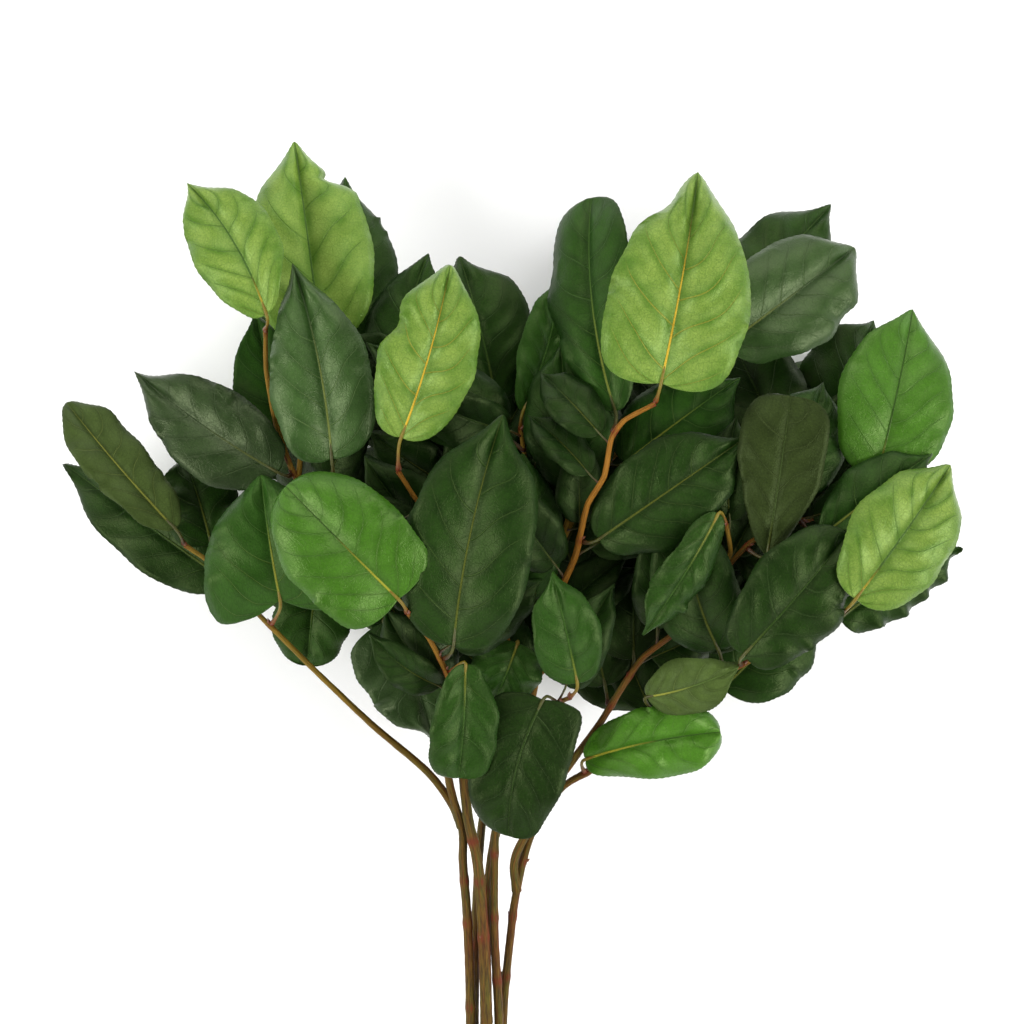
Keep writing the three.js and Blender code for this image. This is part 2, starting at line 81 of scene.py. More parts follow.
# Each stem is a leader and the shoots that fork from it: radius at its two ends and centreline, in
# millimetres from the middle of the cut ends' line.
STEMS = {
    "stem_left": {
        "long_left": ((2.5, 1.2), [
            (-7.2, 3, 9.4), (-7.2, 60, 20.2), (-7.2, 110, 29.8), (-8.5, 150, 37.4), (-10.4, 176, 42.6),
            (-11, 191, 46), (-22, 211, 52), (-50, 236, 57), (-74, 259, 60), (-88, 273, 61), (-106, 291, 60),
            (-118, 304, 58), (-128, 311, 59)]),
        "front_left": ((1.9, 1.2), [
            (-11, 191, 46), (-16, 210, 55), (-18, 230, 66), (-15, 252, 81), (-24, 272, 92), (-33, 283, 100)]),
    },
    "stem_upper_left": {
        "upper_left": ((3, 1.2), [
            (-0.6, 8, 13.6), (-0.6, 60, 23.5), (-0.6, 110, 33), (-2, 150, 40.6), (-4.5, 178, 47),
            (-8, 194, 50), (-11, 218, 53), (-20, 255, 57), (-38, 292, 60), (-58, 320, 62), (-80, 338, 66),
            (-89, 362, 70), (-93, 385, 74), (-93, 401, 79)]),
        "upper_left_front": ((1.7, 1.2), [(-38, 292, 60), (-50, 312, 68), (-60, 328, 74), (-64, 338, 79)]),
        "upper_left_back": ((1.6, 1.1), [(-80, 338, 66), (-77, 362, 63), (-69, 386, 59)]),
    },
    "stem_middle": {
        "middle": ((2.3, 1.2), [
            (5.2, 0, 9.3), (5.2, 60, 20.6), (4.8, 110, 30.2), (3, 145, 37), (3, 178, 44), (4, 196, 48),
            (6, 216, 52), (10, 245, 60), (8, 275, 66), (0, 300, 73), (-14, 314, 81), (-28, 328, 91),
            (-37, 342, 98)]),
        "middle_back": ((1.7, 1.1), [(8, 275, 66), (4, 305, 60), (0, 335, 56), (3, 362, 58)]),
        "middle_left": ((1.5, 1.1), [(4, 305, 60), (-12, 332, 58), (-28, 352, 60), (-40, 367, 62)]),
    },
    "stem_right": {
        "right": ((2.4, 1.3), [
            (0, 6, 6.8), (0, 60, 16.9), (0, 110, 26.3), (-0.4, 150, 33.6), (2, 180, 37.6), (8, 205, 43),
            (15, 228, 50), (20, 250, 58), (25, 280, 64), (31, 312, 70), (36, 328, 75)]),
        "right_front": ((1.9, 1.2), [
            (25, 280, 64), (37, 306, 79), (42, 328, 91), (49, 340, 97), (52, 356, 101), (57, 363, 103),
            (70, 370, 106)]),
        "right_upper": ((1.7, 1.1), [(31, 312, 70), (46, 340, 66), (70, 366, 67), (92, 388, 72)]),
        "right_short": ((1.4, 1.1), [(17, 238, 53), (26, 243, 66), (35, 247, 78)]),
        "right_middle": ((1.5, 1.1), [(27, 292, 66), (23, 325, 64), (16, 348, 67), (14, 360, 70)]),
    },
    "stem_far_right": {
        "far_right": ((2.1, 1.2), [
            (6, 12, 5.4), (6, 60, 14.5), (6.8, 110, 24), (10, 145, 31), (12.5, 163, 35), (19, 188, 41),
            (31, 207, 46), (45, 216, 50), (60, 226, 54), (76, 239, 61), (90, 249, 69), (104, 259, 76),
            (122, 268, 80), (136, 273, 84), (148, 282, 89)]),
        "right_side": ((1.9, 1.2), [
            (12.5, 163, 35), (11.5, 176, 41), (17, 189, 47), (28, 208, 52), (38, 222, 55), (48, 236, 60),
            (57, 251, 66), (66, 264, 70), (80, 275, 74), (96, 296, 80), (110, 312, 84), (124, 320, 84),
            (140, 323, 81), (157, 331, 78)]),
        "right_side_front": ((1.5, 1.1), [(96, 296, 80), (102, 308, 86), (100, 320, 91)]),
        "right_side_back": ((1.5, 1.1), [(124, 320, 84), (133, 342, 72), (139, 355, 62)]),
    },
    "stem_under": {
        "under": ((2.4, 1.3), [
            (-5.9, 2, 2.9), (-5.9, 60, 13.9), (-5.7, 110, 23.4), (-5, 150, 29.4), (-3, 185, 32.6),
            (2, 225, 35), (4, 262, 37), (0, 300, 38), (-8, 335, 36)]),
        "under_left": ((1.8, 1.2), [
            (2, 225, 35), (-20, 252, 36), (-46, 280, 34), (-70, 305, 30), (-86, 326, 26)]),
        "under_right": ((1.8, 1.2), [
            (3, 242, 36), (30, 262, 37), (60, 286, 34), (92, 306, 30), (118, 328, 26)]),
        "under_top": ((1.6, 1.2), [(0, 300, 38), (18, 335, 36), (34, 368, 30), (40, 386, 26)]),
        "under_far": ((1.5, 1.2), [(-4, 318, 37), (-24, 350, 32), (-38, 380, 26)]),
    },
}

# How far a young twig runs straight from node to node: 0 is a smooth curve, 1 is a zigzag. It sets in between
# these two heights in the frame, in metres.
ZIGZAG = 0.5
ZIGZAG_FROM = (-0.05, 0.03)
# The bark turns from old to young between these two distances from the cut end, in metres.
YOUNG_FROM = (0.19, 0.3)
# A young twig's bark is this share thinner than the frame's round solid.
YOUNG_SLIMMING = 0.2
# How far the leaf and twig scars on each leader's bare part are from the cut end, in millimetres.
SCARS = {
    "stem_left": (31, 70, 112, 149, 168, 196),
    "stem_upper_left": (24, 66, 97, 138, 163, 181),
    "stem_middle": (45, 88, 127, 155, 183),
    "stem_right": (20, 57, 103, 134, 160, 185, 206),
    "stem_far_right": (38, 79, 116, 143, 168, 190),
    "stem_under": (30, 85, 140),
}
# How orange each shoot's young bark is; 0 is yellow-olive.
WARM_SHOOTS = {"right_front": 1.0, "middle": 0.9, "front_left": 0.7, "long_left": 0.25, "upper_left": 0.5}
OTHER_WARMTH = 0.4
# Shoots that are darker and browner than the others, and how young their bark looks at most.
AGED_SHOOTS = {"right_side": 0.25, "far_right": 0.5}
# A shoot is thicker by this share where it forks from its leader, over this length.
COLLAR_SWELLING = 0.15
COLLAR_LENGTH = 5 * MM
# The faces of cut wood are this near to the frame's lower end.
CUT_ZONE = 20 * MM

# ---- Small helpers ----


def linear(hex_colour):
    """The linear RGBA of an sRGB hex colour."""
    values = [int(hex_colour[i : i + 2], 16) / 255 for i in (1, 3, 5)]
    return (*[v / 12.92 if v <= 0.04045 else ((v + 0.055) / 1.055) ** 2.4 for v in values], 1.0)


def unit(vectors):
    """Vectors scaled to length 1."""
    vectors = np.asarray(vectors, float)
    return vectors / np.maximum(np.linalg.norm(vectors, axis=-1, keepdims=True), 1e-12)


def fade(value, low, high):
    """0 below low, 1 above high and a smooth change between."""
    x = np.clip((value - low) / (high - low), 0, 1)
    return x * x * (3 - 2 * x)


def hump(value, width):
    """A bell of height 1 around 0."""
    return np.exp(-((value / width) ** 2))


def smooth_through(places, values, at):
    """Values at new places on a smooth curve through rows of values at known places."""
    places = np.asarray(places, float)
    values = np.asarray(values, float)
    slopes = np.gradient(values, places, axis=0)
    k = np.clip(np.searchsorted(places, at) - 1, 0, len(places) - 2)
    span = places[k + 1] - places[k]
    u = ((at - places[k]) / span)[:, None]
    step = span[:, None]
    return (
        values[k] * (2 * u**3 - 3 * u**2 + 1)
        + slopes[k] * step * (u**3 - 2 * u**2 + u)
        + values[k + 1] * (3 * u**2 - 2 * u**3)
        + slopes[k + 1] * step * (u**3 - u**2)
    )


def even_route(route, step):
    """Points a step apart on the centripetal curve through a route, in metres in the frame."""
    points = in_frame(route)
    knots = np.concatenate([[0], np.cumsum(np.linalg.norm(np.diff(points, axis=0), axis=1) ** 0.5)])
    places = np.linspace(0, knots[-1], 40 * len(points))
    straight = np.stack([np.interp(places, knots, points[:, axis]) for axis in range(3)], axis=1)
    angular = ZIGZAG * fade(straight[:, 1:2], *ZIGZAG_FROM)
    dense = angular * straight + (1 - angular) * smooth_through(knots, points, places)
    run = run_along(dense)
    places = np.linspace(0, run[-1], max(4, round(run[-1] / step)) + 1)
    return np.stack([np.interp(places, run, dense[:, axis]) for axis in range(3)], axis=1)


def in_frame(places):
    """Places given in millimetres from the middle of the cut ends' line, in metres in the frame."""
    places = np.array(places, float)
    return (places + CUT_MIDDLE[: places.shape[1]]) * MM


def run_along(points):
    """How far along their line each of these points is."""
    return np.concatenate([[0], np.cumsum(np.linalg.norm(np.diff(points, axis=0), axis=1))])


def join_corners(node):
    """A frame node's corner points and its triangles, with the loose triangles' corners joined."""
    mesh = frame["nodes"][node].data
    corners = np.empty(len(mesh.vertices) * 3, np.float32)
    mesh.vertices.foreach_get("co", corners)
    corners = corners.reshape(-1, 3).astype(float)
    _, first, index = np.unique(np.round(corners * 1e6), axis=0, return_index=True, return_inverse=True)
    mesh.calc_loop_triangles()
    triangles = np.empty(len(mesh.loop_triangles) * 3, np.int32)
    mesh.loop_triangles.foreach_get("vertices", triangles)
    return corners[first], index.ravel()[triangles].reshape(-1, 3)


def finish_piece(piece, materials, replaced=()):
    """Puts a finished object in the frame: it rides on the bunch's body and stands for the replaced nodes."""
    for material in materials:
        piece.data.materials.append(material)
    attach(piece, BODY)
    if replaced:
        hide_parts(*replaced)
    return piece


def new_object(name, points, edges=(), faces=()):
    """A mesh object of these points, edges and faces in the scene."""
    mesh = bpy.data.meshes.new(name)
    mesh.from_pydata([tuple(point) for point in points], edges, faces)
    piece = bpy.data.objects.new(name, mesh)
    bpy.context.scene.collection.objects.link(piece)
    return piece


def store(mesh, name, values, kind="FLOAT"):
    """Writes one value for each point of a mesh as a named attribute."""
    attribute = mesh.attributes.new(name, kind, "POINT")
    field = "vector" if kind == "FLOAT_VECTOR" else "value"
    number = np.int32 if kind == "INT" else np.float32
    attribute.data.foreach_set(field, np.asarray(values, number).ravel())


def store_uv(mesh, name, values):
    """Writes one pair for each point of a mesh as a UV map."""
    corners = np.empty(len(mesh.loops), np.int32)
    mesh.loops.foreach_get("vertex_index", corners)
    layer = mesh.uv_layers.new(name=name)
    layer.uv.foreach_set("vector", np.asarray(values, np.float32)[corners].ravel())


# ---- Node trees ----


def add_node(tree, kind, links=None, **settings):
    """Adds a node; settings are its properties, links maps a socket's name or number to a value or output."""
    node = tree.nodes.new(kind)
    for key, value in settings.items():
        setattr(node, key, value)
    for key, value in (links or {}).items():
        if isinstance(value, bpy.types.NodeSocket):
            tree.links.new(value, node.inputs[key])
        else:
            node.inputs[key].default_value = value
    return node


def new_material(name, preview):
    """A material with nothing in its tree but its shader; preview is its linear colour without nodes."""
    material = bpy.data.materials.new(name)
    material.use_nodes = True
    material.diffuse_color = preview
    tree = material.node_tree
    return material, tree, tree.nodes["Principled BSDF"]


def grown(name, source, tree, values):
    """The plain mesh that a geometry tree grows from a source object; the source is used up."""
    modifier = source.modifiers.new(name, "NODES")
    modifier.node_group = tree
    for item in tree.interface.items_tree:
        if item.item_type == "SOCKET" and item.in_out == "INPUT" and item.name in values:
            modifier[item.identifier] = values[item.name]
    bpy.context.view_layer.update()
    graph = bpy.context.evaluated_depsgraph_get()
    evaluated = source.evaluated_get(graph)
    mesh = bpy.data.meshes.new_from_object(evaluated, preserve_all_data_layers=True, depsgraph=graph)
    if not mesh.polygons:
        raise RuntimeError(f"the tree {tree.name} grew nothing for {name}")
    source.modifiers.remove(modifier)
    old = source.data
    source.data = mesh
    source.name = name
    mesh.name = name
    bpy.data.meshes.remove(old)
    return source


def new_geometry_tree(name, sockets):
    """An empty geometry tree with its in and out nodes and named inputs."""
    tree = bpy.data.node_groups.new(name, "GeometryNodeTree")
    tree.interface.new_socket("Geometry", in_out="INPUT", socket_type="NodeSocketGeometry")
    for label, kind in sockets:
        tree.interface.new_socket(label, in_out="INPUT", socket_type=kind)
    tree.interface.new_socket("Geometry", in_out="OUTPUT", socket_type="NodeSocketGeometry")
    given = tree.nodes.new("NodeGroupInput").outputs
    result = tree.nodes.new("NodeGroupOutput").inputs["Geometry"]
    return tree, given, result


# ---- Leaf materials ----


def vein_patterns():
    """A shader group with a leaf's veins, the mask of the highlight painted between them, the net of fine
    veins and the relief.
    """
    if "salal_veins" in bpy.data.node_groups:
        return bpy.data.node_groups["salal_veins"]
    tree = bpy.data.node_groups.new("salal_veins", "ShaderNodeTree")
    for label in ("Midrib", "Side veins", "Pillow", "Net", "Relief", "Mottle"):
        tree.interface.new_socket(label, in_out="OUTPUT", socket_type="NodeSocketFloat")
    out = tree.nodes.new("NodeGroupOutput").inputs
    veins = add_node(tree, "ShaderNodeUVMap", uv_map="Veins").outputs[0]
    vein = add_node(tree, "ShaderNodeSeparateXYZ", {0: veins})
    count, share = vein.outputs["X"], vein.outputs["Y"]
    plan = add_node(tree, "ShaderNodeUVMap", uv_map="Blade").outputs[0]
    across = add_node(tree, "ShaderNodeSeparateXYZ", {0: plan}).outputs["X"]
    along = add_node(tree, "ShaderNodeAttribute", attribute_name="along").outputs["Fac"]
    smooth = {"interpolation_type": "SMOOTHSTEP"}

    # One unit of the Blade map is 100 mm. The midrib is about 1.1 mm wide at the base and 0.3 mm at the tip.
    rib_width = add_node(
        tree, "ShaderNodeMath", {0: along, 1: -0.0042, 2: 0.0056}, operation="MULTIPLY_ADD").outputs[0]
    distance = add_node(tree, "ShaderNodeMath", {0: across}, operation="ABSOLUTE").outputs[0]
    beyond = add_node(tree, "ShaderNodeMath", {0: distance, 1: rib_width}, operation="DIVIDE").outputs[0]
    rib = add_node(
        tree, "ShaderNodeMapRange", {"Value": beyond, "From Min": 1.3, "From Max": 0.4}, **smooth).outputs[0]

    # The first number of the Veins map is whole on each side vein and a half between two; the second is 0 on
    # the midrib and 1 on the edge. The veins thin out and fade before the edge.
    shifted = add_node(tree, "ShaderNodeMath", {0: count, 1: 0.5}, operation="ADD").outputs[0]
    beside = add_node(tree, "ShaderNodeMath", {0: shifted, 1: 0.5}, operation="PINGPONG").outputs[0]
    vein_width = add_node(
        tree, "ShaderNodeMath", {0: share, 1: -0.016, 2: 0.03}, operation="MULTIPLY_ADD").outputs[0]
    nearness = add_node(tree, "ShaderNodeMath", {0: beside, 1: vein_width}, operation="DIVIDE").outputs[0]
    line = add_node(
        tree, "ShaderNodeMapRange",
        {"Value": nearness, "From Min": 1.3, "From Max": 0.3}, **smooth).outputs[0]
    before_edge = add_node(
        tree, "ShaderNodeMapRange", {"Value": share, "From Min": 0.95, "From Max": 0.7}, **smooth).outputs[0]
    side = add_node(tree, "ShaderNodeMath", {0: line, 1: before_edge}, operation="MULTIPLY").outputs[0]

    # The mask of the highlight painted on the pillows between two side veins; it fades out towards the veins,
    # the midrib and the edge.
    pillow_highlight = add_node(
        tree, "ShaderNodeMapRange", {"Value": beside, "From Min": 0.02, "From Max": 0.3}, **smooth).outputs[0]
    for low, high in ((0.02, 0.16), (1.0, 0.45)):
        inside = add_node(
            tree, "ShaderNodeMapRange",
            {"Value": share, "From Min": low, "From Max": high}, **smooth).outputs[0]
        pillow_highlight = add_node(tree, "ShaderNodeMath", {0: pillow_highlight, 1: inside}, operation="MULTIPLY").outputs[0]

    # The net's cells are 4 mm and, inside them, 1.6 mm wide; a warp with 4 mm waves makes them uneven.
    drift = add_node(
        tree, "ShaderNodeTexNoise", {"Vector": plan, "Scale": 26.0, "Detail": 2.0}).outputs["Color"]
    warped = add_node(
        tree, "ShaderNodeVectorMath", {0: drift, 1: (0.035, 0.035, 0.0), 2: plan},
        operation="MULTIPLY_ADD").outputs[0]
    nets = []
    for cells, low, high, strength in ((25.0, 0.07, 0.01, 1.0), (62.0, 0.16, 0.02, 0.7)):
        cell = add_node(
            tree, "ShaderNodeTexVoronoi", {"Vector": warped, "Scale": cells},
            voronoi_dimensions="2D", feature="DISTANCE_TO_EDGE").outputs[0]
        nets.append(add_node(
            tree, "ShaderNodeMapRange",
            {"Value": cell, "From Min": low, "From Max": high, "To Max": strength}, **smooth).outputs[0])
    net = add_node(tree, "ShaderNodeMath", {0: nets[0], 1: nets[1]}, operation="MAXIMUM").outputs[0]

    # Mottling of 9 mm, and the relief: a swell of 22 mm, the sunk net and side veins, a grain of half a
    # millimetre and the raised midrib.
    mottle, swell, grain = (
        add_node(
            tree, "ShaderNodeTexNoise", {"Vector": plan, "Scale": scale, "Detail": detail}).outputs["Fac"]
        for scale, detail in ((11.0, 4.0), (4.5, 1.0), (210.0, 3.0)))
    relief = add_node(tree, "ShaderNodeMath", {0: swell, 1: 2.2}, operation="MULTIPLY").outputs[0]
    for pattern, height in ((net, -0.045), (side, -0.18), (grain, 0.07), (rib, 0.2)):
        relief = add_node(
            tree, "ShaderNodeMath", {0: pattern, 1: height, 2: relief}, operation="MULTIPLY_ADD").outputs[0]
    for socket, value in zip(out, (rib, side, pillow_highlight, net, relief, mottle)):
        tree.links.new(value, socket)
    return tree


# Preserved salal leaf: the leaf drinks glycerine and dye, so it keeps a leathery, silky skin that reflects a
# little green. Each finish has, beside its colour on the pillows between the veins, where a highlight is
# painted: the deeper green along the veins and the edge, which is painted shade in the veins' grooves; the
# side veins and how much of the midrib's colour they have; the midrib at the base and at the tip, where the
# darker tip of the light, bright and grey leaves is painted shade in the midrib's groove; how rough and how
# glossy the wax is; and the tint of what it reflects.
Finish = namedtuple("Finish", "deep side_vein midrib_share rib_base rib_tip rough gloss reflection")
LEAF_FINISHES = {
    "leaf_dark": Finish("#12270a", "#284418", 0.15, "#565c20", "#304a1b", 0.38, 0.28, "#cbe798"),
    "leaf_grey": Finish("#1b3010", "#364c24", 0.1, "#545c2a", "#203416", 0.35, 0.48, "#d5e5b2"),
    "leaf_mid": Finish("#1b380c", "#30511b", 0.15, "#777628", "#37591f", 0.38, 0.3, "#cbe798"),
    "leaf_bright": Finish("#2b4f10", "#305515", 0.05, "#8f8a2a", "#1d380e", 0.32, 0.5, "#cbe798"),
    "leaf_light": Finish("#45671e", "#4c6b23", 0.35, "#c9a12c", "#2f4f1a", 0.34, 0.55, "#cbe798"),
    "leaf_olive": Finish("#253013", "#404d24", 0.15, "#676828", "#36461e", 0.43, 0.26, "#cbe798"),
    "leaf_under": Finish("#17260d", "#2a3f1b", 0.1, "#474f20", "#1f3312", 0.46, 0.24, "#cbe798"),
}
# Height of one unit of the veins' relief, in metres.
RELIEF_UNIT = 0.001


def chosen_colour(name):
    """The linear colour that is set in the bunch's colour settings."""
    return tuple(getattr(bpy.context.scene.salal_colours, name))


def blade_material(name):
    """A salal leaf's upper skin: painted highlight between the veins, painted shade in their grooves, fine
    net and coloured midrib.
    """
    finish = LEAF_FINISHES[name]
    pillow_green, shade_and_net_green = chosen_colour(name), linear(finish.deep)
    material, tree, shader = new_material("preserved_" + name, pillow_green)
    colour = {"data_type": "RGBA"}
    veins = add_node(tree, "ShaderNodeGroup", node_tree=vein_patterns()).outputs
    tone, along, reach = (
        add_node(tree, "ShaderNodeAttribute", attribute_name=label).outputs["Fac"]
        for label in ("tone", "along", "rib"))
    # Painted highlight: the pillows between the side veins, and random mottled patches, turn towards the
    # pillow green. Where the highlight fades, along the veins, at the midrib and at the edge, the deeper
    # green shows; in the veins' grooves it is painted shade. The fine net takes the same deeper green.
    patches = add_node(
        tree, "ShaderNodeMapRange",
        {"Value": veins["Mottle"], "From Min": 0.34, "From Max": 0.66, "To Max": 0.5}).outputs[0]
    pale = add_node(
        tree, "ShaderNodeMath", {0: veins["Pillow"], 1: 0.5, 2: patches}, operation="MULTIPLY_ADD",
        use_clamp=True).outputs[0]
    skin = add_node(tree, "ShaderNodeMix", {0: pale, 6: shade_and_net_green, 7: pillow_green}, **colour).outputs[2]
    net = add_node(tree, "ShaderNodeMath", {0: veins["Net"], 1: 0.4}, operation="MULTIPLY").outputs[0]
    skin = add_node(tree, "ShaderNodeMix", {0: net, 6: skin, 7: shade_and_net_green}, **colour).outputs[2]

    # The midrib turns from its base colour to its tip colour about where the rib attribute says. On the
    # light, bright and grey leaves the tip colour is darker than the blade: painted shade in the midrib's
    # groove.
    past = add_node(tree, "ShaderNodeMath", {0: along, 1: reach}, operation="SUBTRACT").outputs[0]
    turn = add_node(
        tree, "ShaderNodeMapRange", {"Value": past, "From Min": -0.2, "From Max": 0.15}).outputs[0]
    rib = add_node(
        tree, "ShaderNodeMix", {0: turn, 6: linear(finish.rib_base), 7: linear(finish.rib_tip)},
        **colour).outputs[2]
    line = add_node(
        tree, "ShaderNodeMix", {0: finish.midrib_share, 6: linear(finish.side_vein), 7: rib},
        **colour).outputs[2]
    side = add_node(tree, "ShaderNodeMath", {0: veins["Side veins"], 1: 0.6}, operation="MULTIPLY").outputs[0]
    skin = add_node(tree, "ShaderNodeMix", {0: side, 6: skin, 7: line}, **colour).outputs[2]
    skin = add_node(tree, "ShaderNodeMix", {0: veins["Midrib"], 6: skin, 7: rib}, **colour).outputs[2]

    # Speckles of 0.8 mm and the leaf's own tone change the brightness; on the inner leaves and a few others
    # the tone is partly painted shade, and on a few leaves that lie in shade it is partly painted light.
    plan = add_node(tree, "ShaderNodeUVMap", uv_map="Blade").outputs[0]
    speckle = add_node(
        tree, "ShaderNodeTexNoise",
        {"Vector": plan, "Scale": 130.0, "Detail": 4.0, "Roughness": 0.7}).outputs["Fac"]
    value = add_node(
        tree, "ShaderNodeMath", {0: speckle, 1: 1.1, 2: tone}, operation="MULTIPLY_ADD").outputs[0]
    value = add_node(tree, "ShaderNodeMath", {0: value, 1: 0.45}, operation="ADD").outputs[0]
    skin = add_node(tree, "ShaderNodeHueSaturation", {"Value": value, "Color": skin}).outputs[0]
    tree.links.new(skin, shader.inputs["Base Color"])
    wax = add_node(tree, "ShaderNodeMapRange", {
        "Value": veins["Mottle"], "From Min": 0.3, "From Max": 0.7,
        "To Min": finish.rough - 0.05, "To Max": finish.rough + 0.08})
    tree.links.new(wax.outputs[0], shader.inputs["Roughness"])
    shader.inputs["Specular IOR Level"].default_value = finish.gloss
    shader.inputs["Specular Tint"].default_value = linear(finish.reflection)
    bump = add_node(
        tree, "ShaderNodeBump", {"Height": veins["Relief"], "Distance": RELIEF_UNIT, "Strength": 1.0})
    tree.links.new(bump.outputs[0], shader.inputs["Normal"])
    return material


def underside_material():
    """The leaf's underside: paler, matt and slightly yellow, with the veins standing out."""
    material, tree, shader = new_material("leaf_underside_matt", linear("#5c7340"))
    veins = add_node(tree, "ShaderNodeGroup", node_tree=vein_patterns()).outputs
    tone = add_node(tree, "ShaderNodeAttribute", attribute_name="tone").outputs["Fac"]
    skin = linear("#3a4f22")
    for pattern, shade in (
        ("Mottle", chosen_colour("underside")),
        ("Net", linear("#5e7540")),
        ("Side veins", linear("#7a8a4c")),
        ("Midrib", linear("#8c8a44")),
    ):
        skin = add_node(
            tree, "ShaderNodeMix", {0: veins[pattern], 6: skin, 7: shade}, data_type="RGBA").outputs[2]
    value = add_node(tree, "ShaderNodeMath", {0: tone, 1: 0.85}, operation="ADD").outputs[0]
    skin = add_node(tree, "ShaderNodeHueSaturation", {"Value": value, "Color": skin}).outputs[0]
    tree.links.new(skin, shader.inputs["Base Color"])
    shader.inputs["Roughness"].default_value = 0.68
    shader.inputs["Specular IOR Level"].default_value = 0.3
    bump = add_node(
        tree, "ShaderNodeBump", {"Height": veins["Relief"], "Distance": RELIEF_UNIT, "Strength": 0.8},
        invert=True)
    tree.links.new(bump.outputs[0], shader.inputs["Normal"])
    return material


def stalk_material(name, rooted, upper, fleck):
    """A leaf stalk: red-brown skin where it leaves the twig, turning yellow-green at the blade."""
    material, tree, shader = new_material(name, linear(upper))
    colour = {"data_type": "RGBA"}
    along = add_node(tree, "ShaderNodeAttribute", attribute_name="along").outputs["Fac"]
    place = add_node(tree, "ShaderNodeTexCoord").outputs["Object"]
    # Flecks of 1.4 mm.
    streak = add_node(
        tree, "ShaderNodeTexNoise", {"Vector": place, "Scale": 700.0, "Detail": 2.0}).outputs["Fac"]
    turn = add_node(
        tree, "ShaderNodeMapRange", {"Value": along, "From Min": -0.95, "From Max": -0.25}).outputs[0]
    skin = add_node(
        tree, "ShaderNodeMix", {0: turn, 6: linear(rooted), 7: linear(upper)}, **colour).outputs[2]
    skin = add_node(
        tree, "ShaderNodeMix", {0: streak, 6: skin, 7: linear(fleck)}, blend_type="OVERLAY",
        **colour).outputs[2]
    tree.links.new(skin, shader.inputs["Base Color"])
    shader.inputs["Roughness"].default_value = 0.42
    shader.inputs["Specular IOR Level"].default_value = 0.3
    bump = add_node(tree, "ShaderNodeBump", {"Height": streak, "Distance": 0.0002, "Strength": 0.6})
    tree.links.new(bump.outputs[0], shader.inputs["Normal"])
    return material


def young_stalk():
    """The stalk of a pale leaf."""
    return stalk_material("leaf_stalk_skin", "#6a3010", "#75711f", "#96692a")


def shaded_stalk():
    """The stalk of a dark leaf, dyed like its blade."""
    return stalk_material("leaf_stalk_dyed", "#4c230d", "#4b501c", "#6a5526")


def bark_material():
    """Salal twig bark: thin olive-brown skin with lengthwise streaks, yellow or orange on young shoots."""
    material, tree, shader = new_material("salal_bark", linear("#5c4a22"))
    colour = {"data_type": "RGBA"}
    ring = add_node(tree, "ShaderNodeAttribute", attribute_name="round").outputs["Vector"]
    around = add_node(tree, "ShaderNodeSeparateXYZ", {0: ring})
    run, young, warm, knot = (
        add_node(tree, "ShaderNodeAttribute", attribute_name=label).outputs["Fac"]
        for label in ("run", "young", "warm", "knot"))

    # One unit round the twig is one radius and one unit along it is 30 mm, so the streaks run lengthwise.
    length = add_node(tree, "ShaderNodeMath", {0: run, 1: 1 / (30 * MM)}, operation="MULTIPLY").outputs[0]
    place = add_node(
        tree, "ShaderNodeCombineXYZ", {0: around.outputs["X"], 1: around.outputs["Y"], 2: length}).outputs[0]
    streaks = add_node(
        tree, "ShaderNodeTexNoise",
        {"Vector": place, "Scale": 4.5, "Detail": 6.0, "Roughness": 0.6}).outputs["Fac"]
    streaks = add_node(
        tree, "ShaderNodeMapRange", {"Value": streaks, "From Min": 0.3, "From Max": 0.66}).outputs[0]

    # Each kind of bark has a darker colour in the grooves between the streaks. Old bark is brown with mossy
    # and rusty lengths of about 30 mm.
    old, mossy, rusty, yellow, orange = (
        add_node(tree, "ShaderNodeMix", {0: streaks, 6: linear(groove), 7: ridge}, **colour).outputs[2]
        for groove, ridge in (
            ("#2c1c09", chosen_colour("old_bark")),
            ("#27240b", linear("#5a5114")),
            ("#2f1208", linear("#703510")),
            ("#4d4210", chosen_colour("young_bark")),
            ("#5a360c", chosen_colour("warm_bark"))))
    bands = add_node(
        tree, "ShaderNodeTexNoise", {"Vector": place, "Scale": 0.9, "Detail": 3.0}).outputs["Fac"]
    for edge, patch in ((0.66, mossy), (0.36, rusty)):
        band = add_node(
            tree, "ShaderNodeMapRange", {"Value": bands, "From Min": 0.5, "From Max": edge}).outputs[0]
        old = add_node(tree, "ShaderNodeMix", {0: band, 6: old, 7: patch}, **colour).outputs[2]
    new = add_node(tree, "ShaderNodeMix", {0: warm, 6: yellow, 7: orange}, **colour).outputs[2]
    skin = add_node(tree, "ShaderNodeMix", {0: young, 6: old, 7: new}, **colour).outputs[2]

    # The scars at the knots are red-brown, mostly on one side.
    one_side = add_node(
        tree, "ShaderNodeTexNoise", {"Vector": place, "Scale": 1.3, "Detail": 2.0}).outputs["Fac"]
    one_side = add_node(
        tree, "ShaderNodeMapRange",
        {"Value": one_side, "From Min": 0.42, "From Max": 0.58, "To Min": 0.15}).outputs[0]
    scar = add_node(tree, "ShaderNodeMath", {0: knot, 1: one_side}, operation="MULTIPLY").outputs[0]
    skin = add_node(tree, "ShaderNodeMix", {0: scar, 6: skin, 7: linear("#62260f")}, **colour).outputs[2]
    tree.links.new(skin, shader.inputs["Base Color"])
    shader.inputs["Roughness"].default_value = 0.55
    shader.inputs["Specular IOR Level"].default_value = 0.15
    bump = add_node(tree, "ShaderNodeBump", {"Height": streaks, "Distance": 0.0003, "Strength": 0.8})
    tree.links.new(bump.outputs[0], shader.inputs["Normal"])
    return material


